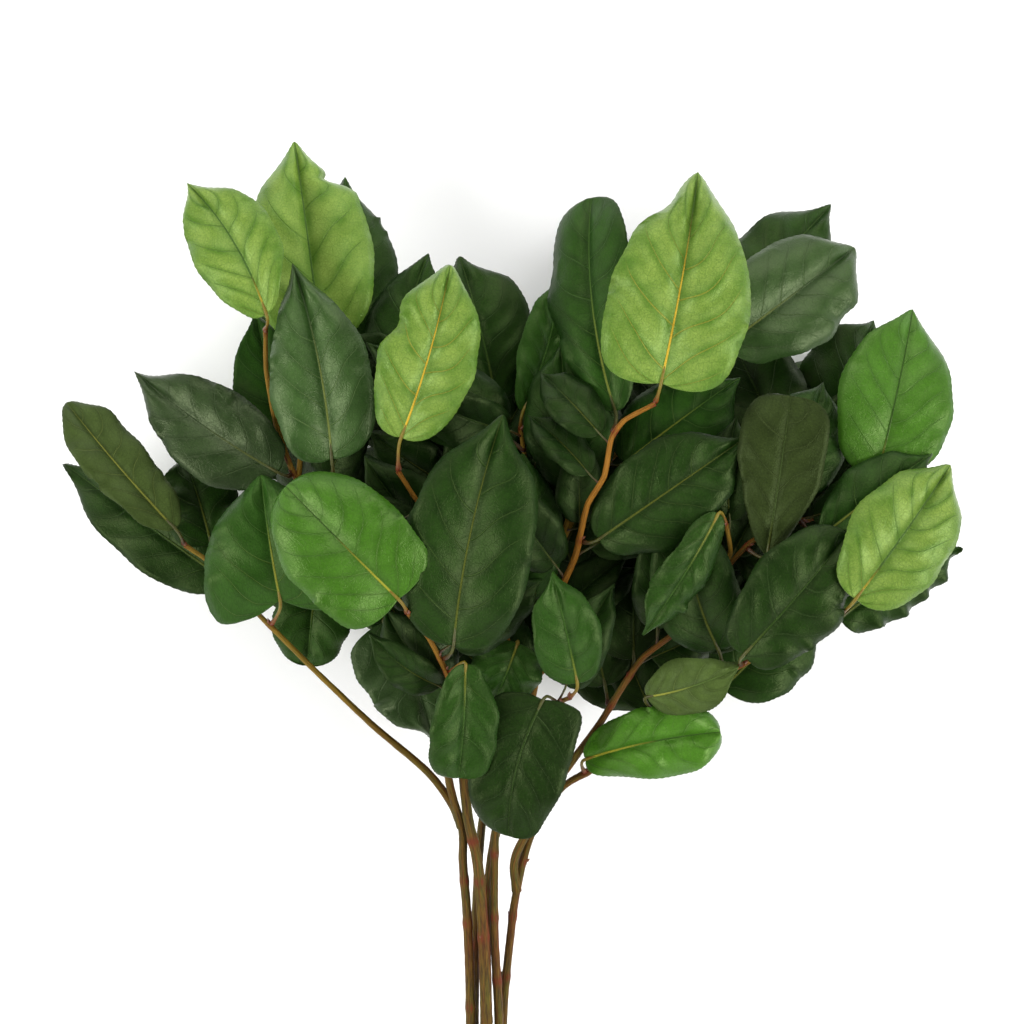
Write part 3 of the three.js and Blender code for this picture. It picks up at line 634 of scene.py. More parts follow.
def grained_material(name, grain_size, dark, pale, rough, relief):
    """A dry or waxy natural surface in two colours with a fine grain; sizes in millimetres."""
    material, tree, shader = new_material(name, pale)
    place = add_node(tree, "ShaderNodeTexCoord").outputs["Object"]
    links = {"Vector": place, "Scale": 1 / (grain_size * MM), "Detail": 3.0}
    grain = add_node(tree, "ShaderNodeTexNoise", links).outputs["Fac"]
    skin = add_node(tree, "ShaderNodeMix", {0: grain, 6: linear(dark), 7: pale}, data_type="RGBA").outputs[2]
    tree.links.new(skin, shader.inputs["Base Color"])
    shader.inputs["Roughness"].default_value = rough
    bump = add_node(tree, "ShaderNodeBump", {"Height": grain, "Distance": relief * MM, "Strength": 0.8})
    tree.links.new(bump.outputs[0], shader.inputs["Normal"])
    return material, tree, shader, skin


def bud_material():
    """Buds: small red-brown scales with a slight gloss."""
    return grained_material("bud_scales", 1.1, "#3c180a", chosen_colour("bud"), 0.4, 0.3)[0]


def cut_wood_material():
    """The cut ends: pale damp wood with fine rays."""
    return grained_material("cut_wood", 1.1, "#8a7444", chosen_colour("cut_wood"), 0.8, 0.1)[0]


def twine_material():
    """Natural jute twine: dry matt fibres, straw-brown, with painted shade in the grooves between the twisted
    strands.
    """
    material, tree, shader, skin = grained_material(
        "jute_twine", 0.55, "#6d5634", chosen_colour("twine"), 0.9, 0.3)
    # Painted shade: the grooves between the strands turn dark brown.
    groove = add_node(tree, "ShaderNodeAttribute", attribute_name="groove").outputs["Fac"]
    skin = add_node(
        tree, "ShaderNodeMix", {0: groove, 6: skin, 7: linear("#3f2f18")}, data_type="RGBA").outputs[2]
    tree.links.new(skin, shader.inputs["Base Color"])
    shader.inputs["Specular IOR Level"].default_value = 0.2
    return material


MAKERS = {
    "underside": underside_material,
    "stalk": young_stalk,
    "dark stalk": shaded_stalk,
    "bark": bark_material,
    "bud": bud_material,
    "cut wood": cut_wood_material,
    "twine": twine_material,
}
# Blades whose stalks are dyed dark like them.
DARK_FINISHES = ("leaf_dark", "leaf_grey", "leaf_olive", "leaf_under")
made_materials = {}


def material_of(finish):
    """The material of a finish, made the first time it is asked for."""
    if finish not in made_materials:
        made_materials[finish] = MAKERS[finish]() if finish in MAKERS else blade_material(finish)
    return made_materials[finish]


# ---- Leaves ----

# What single leaves do beside their plain form; leaf_traits draws the rest.
#   wide: width beside the frame's leaf
#   base, end: powers of the outline at the stalk and at the tip, smaller is fuller
#   tip: share by which the last quarter is narrower
#   heart: how far the base bulges back beside the stalk, as a share of the half width
#   notches: side, place along, width and depth of bites in the outline
#   uneven: unevenness of the outline
#   curl: millimetres by which the left and right edges turn up
#   wave, waves: height in millimetres and number of the edge's waves
#   bulge: height of each half's arch as a share of the half width
#   quilt, pairs: how much the blade swells between its side veins, and how many pairs of them it has
#   rib: how far along the midrib has the colour of its base
#   tone: how much brighter or darker than its finish the leaf is; on some leaves deep in the bunch this is
#   partly painted shade, and on some that lie in the others' shade partly painted light
#   finish: a finish other than the frame's leaf has
LEAF_TRAITS = {
    "upper_left_leaf_2": {"end": 0.85, "wave": 2.4, "tone": -0.1},
    "upper_left_leaf_3": {
        "base": 0.5, "end": 0.8, "tip": 0.45,
        "notches": (("right", 0.79, 0.03, 0.28), ("right", 0.7, 0.05, -0.12)), "curl": (-2, -3),
        "wave": 2.4, "bulge": 0.11, "quilt": 1.0, "rib": 0.05, "tone": 0.05},
    # Lighter tone: painted light on a leaf that lies in the others' shade.
    "upper_left_leaf_4": {"end": 0.95, "tip": 0.5, "tone": 0.6},
    "upper_left_leaf_5": {
        "base": 0.44, "end": 0.95, "tip": 0.5, "curl": (-2, -4), "wave": 2.0, "tone": -0.4},
    "upper_left_leaf_6": {
        "base": 0.5, "end": 0.85, "tip": 0.5, "curl": (-1, -3), "quilt": 0.85, "rib": 0.1, "tone": -0.08},
    "upper_left_leaf_7": {
        "base": 0.48, "end": 0.95, "tip": 0.4, "curl": (-4, -3), "bulge": 0.12, "quilt": 0.6,
        "tone": 0.45},
    "long_left_leaf_1": {"tone": -0.35},
    "long_left_leaf_2": {"wave": 3.0, "waves": 3.4, "tone": -0.2},
    "long_left_leaf_3": {
        "base": 0.42, "end": 0.75, "tip": 0.3, "heart": 0.55, "curl": (-3, -1), "rib": 0.5,
        "tone": -0.03},
    "long_left_leaf_4": {
        "wide": 0.92, "end": 0.5, "tip": 0.2, "curl": (-3, 0), "wave": 1.6, "rib": 0.9, "tone": 0.1},
    "front_left_leaf_1": {
        "wide": 0.92, "base": 0.5, "end": 0.3, "tip": 0.0, "uneven": 0.07, "curl": (-1, -5),
        "tone": -0.36},
    "front_left_leaf_2": {
        "base": 0.5, "end": 0.72, "tip": 0.5, "curl": (-1, -2), "wave": 1.4, "rib": 0.9, "tone": -0.3},
    "front_left_leaf_3": {
        "base": 0.46, "end": 0.46, "tip": 0.0, "heart": 0.15, "curl": (-3, -6), "wave": 1.0, "quilt": 0.4,
        "rib": 0.4, "tone": -0.08},
    "middle_leaf_1": {"end": 0.6, "tone": -0.3},
    "middle_leaf_2": {"tone": -0.2},
    "middle_leaf_3": {"curl": (-3, -3), "wave": 2.0, "tone": -0.2},
    "middle_leaf_4": {
        "base": 0.5, "end": 0.6, "tip": 0.4, "notches": (("left", 0.6, 0.1, 0.16),), "curl": (-5, -2),
        "wave": 2.4, "quilt": 1.5, "rib": 0.8, "tone": -0.12},
    "right_front_leaf_1": {
        "end": 0.4, "tip": 0.0, "uneven": 0.07, "curl": (-6, 2), "wave": 2.4, "bulge": 0.12,
        "tone": 0.32},
    # Darker tone: partly painted shade among the leaves of the right middle.
    "right_front_leaf_2": {"end": 0.7, "rib": 0.9, "tone": -0.35},
    "right_front_leaf_3": {
        "wide": 0.96, "base": 0.5, "end": 0.75, "tip": 0.3, "heart": 0.25,
        "notches": (("left", 0.83, 0.1, 0.36),), "curl": (-4, -5), "wave": 2.4, "bulge": 0.1,
        "quilt": 2.2, "pairs": 6, "rib": 0.66, "tone": -0.12},
    "right_upper_leaf_1": {"wave": 2.2, "tone": -0.1},
    "right_upper_leaf_2": {
        "end": 0.6, "tip": 0.5, "uneven": 0.08, "curl": (-3, -4), "wave": 2.0, "bulge": 0.12,
        "quilt": 0.3, "tone": 0.08},
    # Lighter tone: painted light on a leaf that lies in the others' shade.
    "right_upper_leaf_3": {"tone": 0.7},
    "right_short_leaf_1": {
        "base": 0.38, "end": 0.36, "tip": 0.0, "heart": 0.2, "uneven": 0.04, "curl": (-1, -1),
        "wave": 1.0, "bulge": 0.02, "rib": 0.0, "tone": -0.55},
    "right_short_leaf_2": {"curl": (3, -5), "tone": -0.2},
    "right_side_leaf_2": {
        "base": 0.54, "end": 0.72, "tip": 0.4, "curl": (-1, -3), "bulge": 0.04, "rib": 0.1,
        "tone": -0.04},
    # Darker tone: partly painted shade among the leaves of the right middle.
    "right_side_leaf_5": {"tone": -0.55},
    "right_side_leaf_6": {"wide": 0.8, "end": 0.6, "curl": (-4, -1), "wave": 2.6, "tone": -0.42},
    "right_side_leaf_7": {"base": 0.75, "end": 0.3, "tip": 0.0, "bulge": 0.03, "rib": 0.1, "tone": -0.45},
    "right_side_leaf_8": {"wide": 1.15, "curl": (-4, 2), "wave": 1.8, "tone": 0.65},
    # Darker tones: partly painted shade among the leaves of the right middle.
    "right_side_leaf_9": {"tone": -0.6},
    "right_side_leaf_10": {"tone": -0.6},
    "far_right_leaf_1": {
        "wide": 1.18, "uneven": 0.08, "curl": (-2, -1), "wave": 3.0, "waves": 5.2, "tone": -0.2},
    "far_right_leaf_2": {"bulge": 0.04, "tone": -0.15},
    "far_right_leaf_3": {
        "wide": 1.12, "end": 0.42, "tip": 0.12, "heart": 0.3, "uneven": 0.08, "curl": (-4, -6),
        "wave": 3.2, "waves": 2.2, "rib": 0.4, "tone": 0.2, "finish": "leaf_bright"},
    "far_right_leaf_4": {
        "base": 0.5, "end": 0.62, "tip": 0.5, "heart": 0.15, "curl": (-3, -4), "bulge": 0.12,
        "quilt": 1.0, "rib": 0.1, "tone": -0.2},
    "far_right_leaf_5": {
        "base": 0.5, "end": 0.45, "tip": 0.1, "heart": 0.4, "uneven": 0.06, "curl": (-2, -5), "wave": 2.0,
        "rib": 0.1, "tone": -0.45},
    "under_leaf_9": {"base": 0.5, "end": 0.45, "tip": 0.0, "tone": -0.3},
}
# Rings of a frame leaf's mesh from its stalk's joint to its blade.
STALK_RINGS = 3
# Rows along a blade and columns in each half of it, for the leaves in sight and for the inner ones.
BLADE_STEPS = (56, 12)
INNER_STEPS = (26, 6)
STALK_SIDES = 10
# How far outside a node's own skin a look for other nodes starts, and how far it reaches.
LOOK_FROM = 0.6 * MM
LOOK_UP_TO = 20 * MM


def leaf_rings(node):
    """The rings of six points of a frame leaf's mesh, from its stalk's joint to its tip."""
    points, triangles = join_corners(node)
    near = {i: set() for i in range(len(points))}
    for a, b, c in triangles:
        near[a] |= {b, c}
        near[b] |= {a, c}
        near[c] |= {a, b}
    # The triangles that close an end fan out from one of its ring's points, which so has seven neighbours.
    # The ring's other points have fewer than six, and the points between the ends have six.
    hubs = [i for i, others in near.items() if len(others) == 7]
    ends = [{hub} | {n for n in near[hub] if len(near[n]) < 6} for hub in hubs]
    if len(ends) != 2:
        raise RuntimeError(f"{node} isn't a leaf with two ends")
    # The tip is the smaller end.
    spread = [np.ptp(points[list(ring)], axis=0).max() for ring in ends]
    rings = [ends[int(np.argmin(spread))]]
    seen = set(rings[0])
    while len(seen) < len(points):
        ring = set().union(*(near[i] for i in rings[-1])) - seen
        rings.append(ring)
        seen |= ring
    return [points[sorted(ring)] for ring in reversed(rings)]


def read_leaf(node):
    """The frame's leaf as curves: the stalk's centres and, along the blade, its middle, edges and normal."""
    rings = leaf_rings(node)
    centres = np.array([ring.mean(0) for ring in rings])
    base, tip = centres[STALK_RINGS], centres[-1]
    along = unit(tip - base)
    middle, left, right, normal, place = [], [], [], [], []
    for ring in rings[STALK_RINGS + 1 : -1]:
        # Each point of the upper skin has its nearest point on the lower skin, at the left, middle and right.
        apart = np.linalg.norm(ring[:, None] - ring[None], axis=2) + np.eye(len(ring))
        partner = apart.argmin(1)
        pairs = sorted({tuple(sorted((i, int(partner[i])))) for i in range(len(ring))})
        up = ring[pairs[0][0]] - ring[pairs[0][1]]
        up = unit(up if up[2] > 0 else -up)
        sideways = np.cross(along, up)
        centre_points = sorted(((ring[i] + ring[j]) / 2 for i, j in pairs), key=lambda p: p @ sideways)
        if len(centre_points) != 3:
            raise RuntimeError(f"{node} has a cross section that can't be read")
        middle.append(centre_points[1])
        left.append(centre_points[0] - centre_points[1])
        right.append(centre_points[2] - centre_points[1])
        normal.append(up)
        place.append((centre_points[1] - base) @ along / np.linalg.norm(tip - base))
    return {
        "stalk": centres[: STALK_RINGS + 1],
        "place": np.array([0, *place, 1]),
        "middle": np.array([base, *middle, tip]),
        "left": np.array(left),
        "right": np.array(right),
        "normal": np.array([normal[0], *normal, normal[-1]]),
        "length": np.linalg.norm(tip - base),
    }


def outline(t, base=0.52, end=0.82):
    """A salal blade's half width along its length, 1 at its widest; small powers make a full base or end."""
    widest = base / (base + end)
    most = widest**base * (1 - widest) ** end
    return np.maximum(t, 0) ** base * np.maximum(1 - t, 0) ** end / most


def room_around(points, normals, walls):
    """How far each point may move along its normal and against it before it meets another node."""
    clear = []
    for sign in (1, -1):
        reach = []
        for point, normal in zip(points, normals):
            direction = Vector(normal) * sign
            start = Vector(point) + direction * LOOK_FROM
            distance = walls.ray_cast(start, direction, LOOK_UP_TO)[3]
            reach.append(LOOK_UP_TO if distance is None else distance)
        clear.append(np.array(reach))
    return clear


def held_back(middle, old, new, walls):
    """The new half widths of a blade, held back where they would reach more than half way to another node."""
    free = []
    for centre, half in zip(middle, old):
        outward = Vector(unit(half))
        start = Vector(centre + half) + outward * LOOK_FROM
        distance = walls.ray_cast(start, outward, LOOK_UP_TO)[3]
        free.append(LOOK_UP_TO if distance is None else 0.5 * distance)
    free = np.array(free)
    for _ in range(2):
        free[1:-1] = np.minimum(free[1:-1], np.minimum(free[:-2], free[2:]))
    growth = np.linalg.norm(new, axis=1) - np.linalg.norm(old, axis=1)
    share = np.where(growth > free, free / np.maximum(growth, 0.01 * MM), 1.0)
    share[1:-1] = (share[:-2] + share[1:-1] + share[2:]) / 3
    return old + (new - old) * share[:, None]


def tube(centres, normals, radii, sides):
    """Points and faces of a closed tube; its two ends are single faces."""
    tangents = unit(np.gradient(centres, axis=0))
    rights = unit(np.cross(tangents, normals))
    ups = np.cross(rights, tangents)
    angles = np.linspace(0, 2 * np.pi, sides, endpoint=False)
    ring = np.cos(angles)[None, :, None] * rights[:, None] + np.sin(angles)[None, :, None] * ups[:, None]
    points = (centres[:, None] + ring * np.asarray(radii)[:, None, None]).reshape(-1, 3)
    faces = []
    for r in range(len(centres) - 1):
        for s in range(sides):
            a, b = r * sides + s, r * sides + (s + 1) % sides
            faces.append((a, a + sides, b + sides, b))
    faces.append(tuple(range(sides)))
    faces.append(tuple(reversed(range((len(centres) - 1) * sides, len(centres) * sides))))
    return points, faces


def blade_lines(form, traits, walls, t, rng):
    """A blade's middle, normals and left and right half widths, as one vector for each row."""
    middle = smooth_through(form["place"], form["middle"], t)
    normal = unit(smooth_through(form["place"], form["normal"], t))
    inner = form["place"][1:-1]
    narrow = 1 - traits["tip"] * fade(t, 0.76, 0.975)
    halves = []
    for side in ("left", "right"):
        share = form[side] / outline(inner)[:, None]
        share = smooth_through(form["place"], np.vstack([share[:1], share, share[-1:]]), t)
        lobes = sum(
            rng.uniform(-1, 1) * np.sin(2 * np.pi * (k * t + rng.random())) / k**0.6 for k in (1.3, 2.4, 4.1))
        change = 1 + traits["uneven"] * lobes * fade(t, 0, 0.15) * fade(t, 1, 0.85)
        for notch_side, place, wide, deep in traits["notches"]:
            if notch_side == side:
                change = change - deep * hump(t - place, wide)
        old = share * outline(t)[:, None]
        own = outline(t, traits["base"], traits["end"]) * traits["wide"] * narrow * change
        new = share * own[:, None]
        halves.append(held_back(middle, old, new, walls) if walls else new)
    return middle, normal, halves


def blade_grid(t, v, halves):
    """What each point of a blade's grid knows: its places along and across, its side and its half width."""
    shape = (len(t), len(v))
    across = np.broadcast_to(v[None, :], shape)
    right = across > 0
    widths = [np.linalg.norm(half, axis=1) for half in halves]
    return {
        "along": np.broadcast_to(t[:, None], shape),
        "across": across,
        "out": np.abs(across),
        "right": right,
        "width": np.where(right, widths[1][:, None], widths[0][:, None]),
        "widest": max(widths[0].max(), widths[1].max()),
    }


def blade_relief(form, traits, sizes, grid, rng):
    """The number of side veins passed at each point, and the height of the blade's folds there."""
    along, across, out, right = (grid[key] for key in ("along", "across", "out", "right"))

    # The side veins leave the midrib at about 50 degrees and bend forward towards the edge.
    slant = 0.8 * grid["widest"] / form["length"]
    stagger = np.where(right, traits["stagger"], 0.0)
    wander = 0.12 * np.sin(9 * along + 5 * across + rng.uniform(0, 6))
    count = traits["pairs"] * (along - slant * (0.75 * out + 0.45 * out**2)) + stagger + wander

    between = 0.5 - 0.5 * np.cos(2 * np.pi * count)
    quilt = sizes.quilting * traits["quilt"] * between * fade(out, 0.02, 0.2) * fade(out, 1.0, 0.75)
    quilt = quilt * fade(along, 0.02, 0.2) * fade(along, 1.0, 0.85)
    bulge = traits["bulge"] * grid["widest"] * 4 * out * (1 - out)
    bulge = bulge * fade(along, 0, 0.2) * fade(along, 1, 0.85)
    curl = np.where(right, traits["curl"][1], traits["curl"][0]) * MM
    curl = curl * out**3 * fade(along, 0.05, 0.5) * (1 - 0.4 * along)
    phases = [rng.uniform(0, 6.28) for _ in range(2)]
    phase = np.where(right, phases[1], phases[0])
    wave = traits["wave"] * MM * out**2.2 * np.sin(2 * np.pi * traits["waves"] * along + phase)
    return count, quilt + bulge + curl + wave * fade(along, 0.0, 0.15)


def blade_skins(lines, grid, height, traits, sizes, walls):
    """Points of a blade's upper and lower skin; the height is held back where another node is near."""
    middle, normal, halves = lines
    along, out, right, width = (grid[key] for key in ("along", "out", "right", "width"))
    half_vector = np.where(right[..., None], halves[1][:, None], halves[0][:, None])
    tooth = (np.arange(len(middle))[:, None] % 2 == 1) & (out == 1)
    teeth = 1 + np.where(tooth, sizes.teeth, 0) / np.maximum(width, MM)
    lobes = traits["heart"] * out * width * fade(along, 0.22, 0.0)
    ahead = unit(np.gradient(middle, axis=0))
    flat = middle[:, None] + (out * teeth)[..., None] * half_vector - lobes[..., None] * ahead[:, None]
    normals = np.broadcast_to(normal[:, None], flat.shape)
    if walls:
        # Up to half of the way to another node is free, less a spare gap.
        up, down = room_around(flat.reshape(-1, 3), normals.reshape(-1, 3), walls)
        spare = 0.25 * MM
        up = np.maximum(0.5 * up - spare, 0.05 * MM).reshape(out.shape)
        down = np.maximum(0.5 * down - spare, 0.05 * MM).reshape(out.shape)
        height = np.where(height > 0, up * np.tanh(height / up), -down * np.tanh(-height / down))
    beside = grid["across"] * width
    groove = -0.45 * MM * hump(beside, 1.6 * MM) + 0.35 * MM * (1 - along) * hump(beside, 0.45 * MM)
    rib = 0.75 * MM * (1 - 0.75 * along) * hump(beside, 0.8 * MM) * fade(along, 0, 0.04)
    height = height + groove
    thick = sizes.thickness / 2 * (1 - 0.75 * out**6)
    top = flat + normals * (height + thick)[..., None]
    bottom = flat + normals * (height - thick - rib)[..., None]
    if walls:
        # A leaf that touches the table rests on it.
        sunk = np.maximum(-bottom[..., 2], 0)
        top[..., 2] += sunk
        bottom[..., 2] += sunk
    return top, bottom


def blade_faces(rows, columns):
    """Faces of a blade's two skins and the edge between them, and which of its materials each has."""
    index = np.arange(rows * columns).reshape(rows, columns)
    under = index + rows * columns
    faces, numbers = [], []
    for number, corners in (
        (0, (index[:-1, :-1], index[:-1, 1:], index[1:, 1:], index[1:, :-1])),
        (1, (under[:-1, :-1], under[1:, :-1], under[1:, 1:], under[:-1, 1:])),
        (0, (index[:-1, 0], index[1:, 0], under[1:, 0], under[:-1, 0])),
        (0, (index[:-1, -1], under[:-1, -1], under[1:, -1], index[1:, -1])),
        (0, (index[0, :-1], under[0, :-1], under[0, 1:], index[0, 1:])),
        (0, (index[-1, :-1], index[-1, 1:], under[-1, 1:], under[-1, :-1])),
    ):
        block = np.stack(corners, axis=-1).reshape(-1, 4)
        faces.extend(map(tuple, block.tolist()))
        numbers.extend([number] * len(block))
    return faces, numbers


def leaf_stalk(form, normal, sizes):
    """Points, faces and places along of a stalk, from inside the twig's bark to under the blade."""
    stalk = form["stalk"]
    joint, base = stalk[0], stalk[-1]
    leaving, arriving = unit(stalk[1] - stalk[0]), unit(form["middle"][1] - form["middle"][0])
    reach = np.linalg.norm(base - joint) * 0.9
    s = np.linspace(0, 1, 6)[:, None]
    arc = joint * (2 * s**3 - 3 * s**2 + 1) + base * (3 * s**2 - 2 * s**3)
    arc = arc + leaving * reach * (s**3 - 2 * s**2 + s) + arriving * reach * (s**3 - s**2)
    start = joint - leaving * sizes.rooting
    under_blade = smooth_through(form["place"], form["middle"], np.array([0.05, 0.12]))
    under_blade = under_blade - normal[:2] * [[0.25 * MM], [0.7 * MM]]
    route = np.vstack([start, arc, under_blade])
    run = run_along(route)
    share = np.linspace(0, 1, 15)
    centres = smooth_through(run, route, share * run[-1])
    stalk_end = run[-3] / run[-1]
    radii = sizes.stalk * (1.22 - 0.5 * fade(share, 0, 0.25) + 0.12 * fade(share, 0.4, 0.8))
    radii = radii * (1 - 0.45 * fade(share, stalk_end, 1))
    points, faces = tube(centres, np.broadcast_to(normal[0], centres.shape), radii, STALK_SIDES)
    return points, faces, np.repeat(np.minimum(share / stalk_end, 1) - 1, STALK_SIDES)


def build_leaf(form, traits, sizes, walls, steps=BLADE_STEPS):
    """Points, faces, material numbers, places along and both maps of one leaf with its stalk."""
    rng = random.Random(traits["seed"])
    # The rows lie closer together near the blade's two ends, and the columns near its midrib.
    u = np.linspace(0, 1, steps[0] + 1)
    t = 0.004 + 0.994 * (0.55 * u + 0.45 * (0.5 - 0.5 * np.cos(np.pi * u)))
    v = np.linspace(0, 1, steps[1] + 1) ** 1.5
    v = np.concatenate([-v[:0:-1], v])
    lines = blade_lines(form, traits, walls, t, rng)
    grid = blade_grid(t, v, lines[2])
    count, height = blade_relief(form, traits, sizes, grid, rng)
    top, bottom = blade_skins(lines, grid, height, traits, sizes, walls)
    points = np.concatenate([top.reshape(-1, 3), bottom.reshape(-1, 3)])
    faces, numbers = blade_faces(len(t), len(v))
    along = np.tile(grid["along"].ravel(), 2)
    veins = np.tile(np.stack([count.ravel(), grid["out"].ravel()], axis=1), (2, 1))
    beside, ahead = grid["across"] * grid["width"], grid["along"] * form["length"]
    plan = np.stack([beside.ravel(), ahead.ravel()], axis=1) / (100 * MM)
    plan = np.tile(plan, (2, 1)) + [0, 3.7 * rng.random()]

    stalk_points, stalk_faces, stalk_along = leaf_stalk(form, lines[1], sizes)
    faces.extend(tuple(i + len(points) for i in face) for face in stalk_faces)
    numbers.extend([2] * len(stalk_faces))
    points = np.concatenate([points, stalk_points])
    along = np.concatenate([along, stalk_along])
    blank = np.zeros((len(stalk_points), 2))
    return points, faces, numbers, along, np.concatenate([veins, blank]), np.concatenate([plan, blank])


def leaf_traits(node, form):
    """A leaf's own small differences, the same on each run."""
    rng = random.Random(node)
    size = np.linalg.norm(form["left"], axis=1).max()
    traits = {
        "seed": node,
        "pairs": rng.choice((5, 6, 6, 7)) if form["length"] > 55 * MM else rng.choice((4, 5)),
        "stagger": rng.uniform(0.3, 0.7),
        "quilt": rng.uniform(0.4, 0.9),
        "bulge": rng.uniform(0.03, 0.1),
        "curl": (rng.uniform(-4, 1.5), rng.uniform(-4, 1.5)),
        "wave": rng.uniform(0.7, 1.9) * size / (20 * MM),
        "waves": rng.uniform(1.5, 3.2),
        "wide": 1.0,
        "heart": rng.uniform(0.0, 0.2),
        "base": rng.uniform(0.46, 0.58),
        "end": rng.uniform(0.62, 0.85),
        "tip": rng.uniform(0.45, 0.7),
        "notches": (),
        "uneven": rng.uniform(0.03, 0.06),
        "rib": rng.uniform(0.15, 0.6),
        "tone": rng.uniform(-0.12, 0.12),
    }
    traits.update(LEAF_TRAITS.get(node, {}))
    return traits


def all_walls(nodes):
    """One search tree over these nodes' triangles."""
    points, triangles, offset = [], [], 0
    for node in nodes:
        corners, faces = join_corners(node)
        points.extend(map(tuple, corners))
        triangles.extend(tuple(int(i) + offset for i in face) for face in faces)
        offset += len(corners)
    return BVHTree.FromPolygons(points, triangles)


def leaf_object(name, built, traits, finish):
    """A leaf's mesh object with its materials, maps and attributes."""
    points, faces, numbers, along, veins, plan = built
    leaf = new_object(name, points, faces=faces)
    mesh = leaf.data
    mesh.shade_smooth()
    for skin in (finish, "underside", "dark stalk" if finish in DARK_FINISHES else "stalk"):
        mesh.materials.append(material_of(skin))
    mesh.polygons.foreach_set("material_index", numbers)
    store(mesh, "along", along)
    store(mesh, "tone", np.full(len(points), traits["tone"]))
    store(mesh, "rib", np.full(len(points), traits["rib"]))
    store_uv(mesh, "Blade", plan)
    store_uv(mesh, "Veins", veins)
    return leaf


class SALAL_OT_leaves(bpy.types.Operator):
    """Grows a thin, veined, slightly wavy leaf with its stalk in the place of each leaf of the frame"""

    bl_idname = "salal.leaves"
    bl_label = "Leaves"

    def execute(self, context):
        sizes = context.scene.salal_leaves
        walls = all_walls(SLOTS)
        for node in LEAF_NODES:
            form = read_leaf(node)
            traits = leaf_traits(node, form)
            built = build_leaf(form, traits, sizes, walls)
            finish = traits.get("finish", SLOTS[node])
            leaf = leaf_object(node.replace("_leaf_", "_salal_"), built, traits, finish)
            finish_piece(leaf, [], [node])
        return {"FINISHED"}


# ---- Twigs ----


def twig_runs(step):
    """Every shoot as evenly spaced points with radius, distance from the cut end and its leaves' joints."""
    roots = [read_leaf(node)["stalk"][0] for node in LEAF_NODES]
    runs = []
    for stem, shoots in STEMS.items():
        leader = None
        for name, (radius, route) in shoots.items():
            points = even_route(route, step)
            own = run_along(points)
            start = 0.0
            if leader is not None:
                start = leader["run"][np.linalg.norm(leader["points"] - points[0], axis=1).argmin()]
            slimming = 1 - YOUNG_SLIMMING * fade(own + start, *YOUNG_FROM)
            runs.append({
                "stem": stem, "name": name, "points": points, "run": own + start, "own": own,
                "radius": np.interp(own, [0, own[-1]], radius) * slimming * MM,
                "joints": [], "forked": leader is not None})
            leader = leader or runs[-1]
    for root in roots:
        nearest = min(runs, key=lambda r: np.linalg.norm(r["points"] - root, axis=1).min())
        place = int(np.linalg.norm(nearest["points"] - root, axis=1).argmin())
        nearest["joints"].append((place, unit(root - nearest["points"][place])))
    return runs


def stem_line(name, runs, sizes):
    """A stem's shoots as lines of points, with what the bark is at each point as attributes."""
    points, edges = [], []
    at_points = {"radius": [], "run": [], "young": [], "warm": [], "knot": []}
    for run in runs:
        offset, own = len(points), run["own"]
        bare = [] if run["forked"] else [place * MM for place in SCARS[run["stem"]]]
        places = [own[place] for place, _ in run["joints"]] + bare
        knots = [hump(own - place, sizes.knot_length) for place in places]
        near = np.max(knots, axis=0) if knots else own * 0
        collar = hump(own, COLLAR_LENGTH) if run["forked"] else own * 0
        points.extend(run["points"])
        edges.extend((offset + i, offset + i + 1) for i in range(len(own) - 1))
        thicker = 1 + sizes.knot_swelling * near + COLLAR_SWELLING * collar
        at_points["radius"].extend(run["radius"] * thicker)
        at_points["run"].extend(run["run"])
        at_points["young"].extend(AGED_SHOOTS.get(run["name"], 1.0) * fade(run["run"], *YOUNG_FROM))
        at_points["warm"].extend(np.full(len(own), WARM_SHOOTS.get(run["name"], OTHER_WARMTH)))
        at_points["knot"].extend(near)
    line = new_object(name, points, edges)
    for label, values in at_points.items():
        store(line.data, label, values)
    return line


